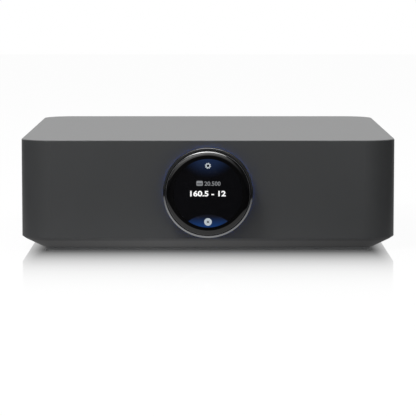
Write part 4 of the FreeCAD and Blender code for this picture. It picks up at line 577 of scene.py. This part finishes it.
# the cover glass with a truly round edge: its front is inset ring by ring and each ring is moved forward
def makeGlass():
    wide = glassSet["edgeWidth"]
    drop = glassSet["edgeDrop"]
    rim = glassSet["rim"]
    # the radius of the shallow arc that drops that far over that width, and its slope at the rim
    curve = (wide ** 2 + drop ** 2) / (2 * drop)
    steepest = math.asin((wide - rim) / curve)
    # how far in and how far back each ring lies: first the small round of the rim, then the wide shallow arc
    rimFoot = curve * (1 - math.cos(steepest)) + rim * math.cos(steepest)
    turns = [step / glassSet["rimRings"] * (math.pi / 2 - steepest)
             for step in range(glassSet["rimRings"] + 1)]
    profile = [(rim * (1 - math.cos(turn)), rimFoot - rim * math.sin(turn)) for turn in turns]
    inward = profile[-1][0]
    for step in range(1, glassSet["rings"] + 1):
        slope = steepest * (1 - step / glassSet["rings"])
        profile.append((inward + curve * (math.sin(steepest) - math.sin(slope)),
                        curve * (1 - math.cos(slope))))
    depth = glassHigh.y - glassLow.y - rimFoot * mm
    bpy.ops.object.select_all(action="DESELECT")
    bpy.ops.mesh.primitive_cylinder_add(
        vertices=glassSet["corners"], radius=glassRadius, depth=depth, rotation=(math.pi / 2, 0, 0),
        location=(dialCentre.x, glassHigh.y - depth / 2, dialCentre.z))
    piece = bpy.context.object
    bpy.ops.object.transform_apply(location=True, rotation=True, scale=True)
    bpy.ops.object.mode_set(mode="EDIT")
    bpy.ops.mesh.select_mode(type="FACE")
    bpy.ops.mesh.select_all(action="DESELECT")
    mesh = bmesh.from_edit_mesh(piece.data)
    front = min(mesh.faces, key=lambda face: face.calc_center_median().y)
    front.select_set(True)
    bmesh.update_edit_mesh(piece.data)
    for (lastIn, lastBack), (nextIn, nextBack) in zip(profile, profile[1:]):
        bpy.ops.mesh.inset(thickness=(nextIn - lastIn) * mm, depth=0)
        bpy.ops.transform.translate(value=(0, (nextBack - lastBack) * mm, 0))
    bpy.ops.mesh.inset(thickness=glassSet["flat"] * mm, depth=0)
    bpy.ops.object.mode_set(mode="OBJECT")
    bpy.ops.object.shade_smooth_by_angle(angle=smoothAngle)
    finishPiece(piece, "cover_glass_polished", glassFinish)
    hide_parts("cover_glass")


makeGlass()
print("cover glass made")

# frosted acrylic lit from behind: an even blue glow that spills on the faceplate round the dial
diffuserSet = {"color": "3f7bff", "strength": 13.0}
diffuserFinish = texturedFinish("frosted acrylic", "8fb2ff", grain=0.8, bump=0.02, roughness=0.5)
diffuserTree = diffuserFinish.node_tree
setInputs(diffuserTree, diffuserTree.nodes["Principled BSDF"], {
    "Emission Color": hexColor(diffuserSet["color"]), "Emission Strength": diffuserSet["strength"]})
dress(diffuserFinish, "light_diffuser")
print("finishes given")

# the lit display under the glass

# sizes in mm from the dial's centre; the three layers lie that far in front of the glass's back
displaySet = {
    "face": 0.05, "graphics": 0.12, "details": 0.18, "radius": 24.3, "active": 19.9, "soft": 0.1,
    "glowCentre": 27.0, "glowMiddle": 13.0, "glowSoft": 5.9, "glowColor": "182745", "restColor": "030305",
    "lensRadius": 18.9, "lensTop": -12.5, "blueFrom": -13.6, "lensDark": "12141e", "lensBright": "14386e",
    "inkColor": "050506", "inkRoughness": 0.4,
}


# a bonded screen: black ink outside, and in the lit area a blue glow at the top and a blue lens at the foot
def makeDisplayFinish():
    sizes = displaySet
    material, tree, shader = newMaterial("bonded colour display")
    position = addNode(tree, "ShaderNodeTexCoord").outputs["Object"]
    centred = addNode(tree, "ShaderNodeMapping", {"Vector": position, "Location": (0, 0, -dialCentre.z)})
    place = addNode(tree, "ShaderNodeSeparateXYZ", {"Vector": centred})
    flat = addNode(tree, "ShaderNodeCombineXYZ", {"X": place.outputs["X"], "Z": place.outputs["Z"]})

    # 1 within a circle round a point on the middle line, with a soft edge
    def withinCircle(centreZ, radius, soft=sizes["soft"], kind="LINEAR"):
        away = addNode(tree, "ShaderNodeVectorMath", {0: flat, 1: (0, 0, centreZ * mm)},
                       operation="DISTANCE")
        return addNode(tree, "ShaderNodeMapRange", {
            "Value": away.outputs["Value"], "From Min": (radius + soft) * mm,
            "From Max": (radius - soft) * mm}, interpolation_type=kind)

    active = withinCircle(0, sizes["active"])
    lens = withinCircle(sizes["lensTop"] - sizes["lensRadius"], sizes["lensRadius"])
    top = withinCircle(sizes["glowCentre"], sizes["glowMiddle"], sizes["glowSoft"], "SMOOTHSTEP")
    low = addNode(tree, "ShaderNodeMapRange", {
        "Value": place.outputs["Z"], "From Min": sizes["blueFrom"] * mm, "From Max": -sizes["active"] * mm})
    glow = addNode(tree, "ShaderNodeMix", {
        0: top, 6: hexColor(sizes["restColor"]), 7: hexColor(sizes["glowColor"])}, data_type="RGBA")
    blue = addNode(tree, "ShaderNodeMix", {
        0: low, 6: hexColor(sizes["lensDark"]), 7: hexColor(sizes["lensBright"])}, data_type="RGBA")
    picture = addNode(tree, "ShaderNodeMix", {
        0: lens, 6: glow.outputs[2], 7: blue.outputs[2]}, data_type="RGBA")
    light = addNode(tree, "ShaderNodeMix", {
        0: active, 6: hexColor("000000"), 7: picture.outputs[2]}, data_type="RGBA")
    setInputs(tree, shader, {
        "Base Color": hexColor(sizes["inkColor"]), "Roughness": sizes["inkRoughness"],
        "Specular IOR Level": 0.0, "Emission Color": light.outputs[2], "Emission Strength": 1.0})
    return material


# the grid is in mm, coarser than the real pixels so that it shows
pixelSet = {"grid": 0.3, "detail": 1.0, "dim": 0.92, "inkColor": "050506", "roughness": 0.5}


# lit picture elements: the colour is its own light, with the faint grid of the pixels in it
def litFinish(name, color, strength=1.0):
    material, tree, shader = newMaterial(name)
    position = addNode(tree, "ShaderNodeTexCoord").outputs["Object"]
    grid = addNode(tree, "ShaderNodeTexNoise", {
        "Vector": position, "Scale": perMm(pixelSet["grid"]), "Detail": pixelSet["detail"]})
    full = hexColor(color)
    dimmer = [c * pixelSet["dim"] for c in full[:3]] + [1]
    light = addNode(tree, "ShaderNodeMix", {0: grid, 6: dimmer, 7: full}, data_type="RGBA")
    setInputs(tree, shader, {
        "Base Color": hexColor(pixelSet["inkColor"]), "Roughness": pixelSet["roughness"],
        "Specular IOR Level": 0.0, "Emission Color": light.outputs[2], "Emission Strength": strength})
    return material


# where a place across and up from the dial's centre, in mm, lies on one of the display's layers
def placeOnDisplay(at, layer):
    return (at[0] * mm, glassHigh.y - displaySet[layer] * mm, dialCentre.z + at[1] * mm)


# a flat disc on one of the display's layers
def addDisc(name, material, at, radius, layer="graphics", corners=64):
    bpy.ops.object.select_all(action="DESELECT")
    bpy.ops.mesh.primitive_circle_add(vertices=corners, radius=radius * mm, fill_type="NGON",
                                      location=placeOnDisplay(at, layer), rotation=(math.pi / 2, 0, 0))
    return finishPiece(bpy.context.object, name, material)


# a flat rectangle, with round corners or turned in its plane
def addPanel(name, material, at, size, corner=0.0, steps=5, turn=0.0, layer="graphics"):
    bpy.ops.object.select_all(action="DESELECT")
    bpy.ops.mesh.primitive_plane_add(size=1, location=placeOnDisplay(at, layer),
                                     rotation=(math.pi / 2, turn, 0))
    panel = bpy.context.object
    panel.scale = (size[0] * mm, size[1] * mm, 1)
    bpy.ops.object.transform_apply(location=False, rotation=False, scale=True)
    if corner:
        bpy.ops.object.mode_set(mode="EDIT")
        bpy.ops.mesh.select_all(action="SELECT")
        bpy.ops.mesh.bevel(offset=corner * mm, segments=steps, affect="VERTICES")
        bpy.ops.object.mode_set(mode="OBJECT")
    return finishPiece(panel, name, material)


# plain digits from the built-in font, made a flat mesh and fitted to their width and height
def addNumber(name, material, sizes, drawnAt=10, layer="graphics"):
    bpy.ops.object.select_all(action="DESELECT")
    bpy.ops.object.text_add()
    number = bpy.context.object
    number.data.body = sizes["text"]
    number.data.size = drawnAt * mm
    number.data.offset = sizes["weight"] * mm
    bpy.ops.object.convert(target="MESH")
    number = bpy.context.object
    low = [min(v.co[i] for v in number.data.vertices) for i in (0, 1)]
    high = [max(v.co[i] for v in number.data.vertices) for i in (0, 1)]
    fit = [sizes["size"][i] * mm / (high[i] - low[i]) for i in (0, 1)]
    corner = [sizes["at"][i] - sizes["size"][i] / 2 for i in (0, 1)]
    left, back, foot = placeOnDisplay(corner, layer)
    number.scale = (fit[0], fit[1], 1)
    number.rotation_euler = (math.pi / 2, 0, 0)
    number.location = (left - low[0] * fit[0], back, foot - low[1] * fit[1])
    return finishPiece(number, name, material)


# a small cog: two of every four corners of the disc are drawn in
def addCog(name, material, sizes):
    bpy.ops.object.select_all(action="DESELECT")
    bpy.ops.mesh.primitive_circle_add(vertices=sizes["corners"], radius=sizes["radius"] * mm,
                                      fill_type="NGON", location=placeOnDisplay(sizes["at"], "graphics"),
                                      rotation=(math.pi / 2, 0, 0))
    disc = bpy.context.object
    bpy.ops.object.mode_set(mode="EDIT")
    bpy.ops.mesh.select_mode(type="VERT")
    bpy.ops.mesh.select_all(action="DESELECT")
    mesh = bmesh.from_edit_mesh(disc.data)
    mesh.verts.ensure_lookup_table()
    for index, corner in enumerate(mesh.verts):
        corner.select_set(index % 4 < 2)
    bmesh.update_edit_mesh(disc.data)
    bpy.ops.transform.resize(value=(sizes["waist"],) * 3, center_override=disc.location)
    bpy.ops.object.mode_set(mode="OBJECT")
    return finishPiece(disc, name, material)


# pixels that glow white and grey, and dark ones for what stands out against the lit shapes
whiteFinish = litFinish("white pixels", "ffffff", strength=1.1)
greyFinish = litFinish("grey pixels", "bcc5cb", strength=1.05)
dimFinish = litFinish("dim grey pixels", "8b8d90")
darkFinish = litFinish("dark blue pixels", "10131c")

# places across and up from the dial's centre, and sizes, in mm
pictureSet = {
    "cog": {"at": (0.0, 15.95), "radius": 1.8, "hole": 0.8, "holeCorners": 32, "corners": 32, "waist": 0.74},
    "tag": {"at": (-4.85, 5.75), "size": (3.7, 2.9), "corner": 0.6, "barAt": (-4.85, 5.45),
            "bar": (2.7, 0.5)},
    "small": {"text": "20.500", "at": (2.6, 5.6), "size": (9.3, 2.5), "weight": 0.1},
    "main": {"text": "160.5 - 12", "at": (0.0, -0.2), "size": (20.6, 3.35), "weight": 0.3},
    "key": {"at": (0.0, -16.7), "radius": 2.2, "mark": (1.9, 0.4)},
}
cogSet = pictureSet["cog"]
tagSet = pictureSet["tag"]
keySet = pictureSet["key"]

addDisc("screen_print", makeDisplayFinish(), (0, 0), displaySet["radius"], "face", corners=128)
addCog("picture_cog", greyFinish, cogSet)
addDisc("picture_cog_hole", darkFinish, cogSet["at"], cogSet["hole"], "details",
        corners=cogSet["holeCorners"])
addPanel("picture_tag", dimFinish, tagSet["at"], tagSet["size"], corner=tagSet["corner"])
addPanel("picture_tag_bar", darkFinish, tagSet["barAt"], tagSet["bar"], layer="details")
addNumber("picture_small_number", dimFinish, pictureSet["small"])
addNumber("picture_main_number", whiteFinish, pictureSet["main"])
addDisc("picture_round_key", greyFinish, keySet["at"], keySet["radius"])
for index, turn in enumerate((math.pi / 4, -math.pi / 4)):
    addPanel(f"picture_key_mark_{index}", darkFinish, keySet["at"], keySet["mark"], turn=turn,
             layer="details")
print("display made")
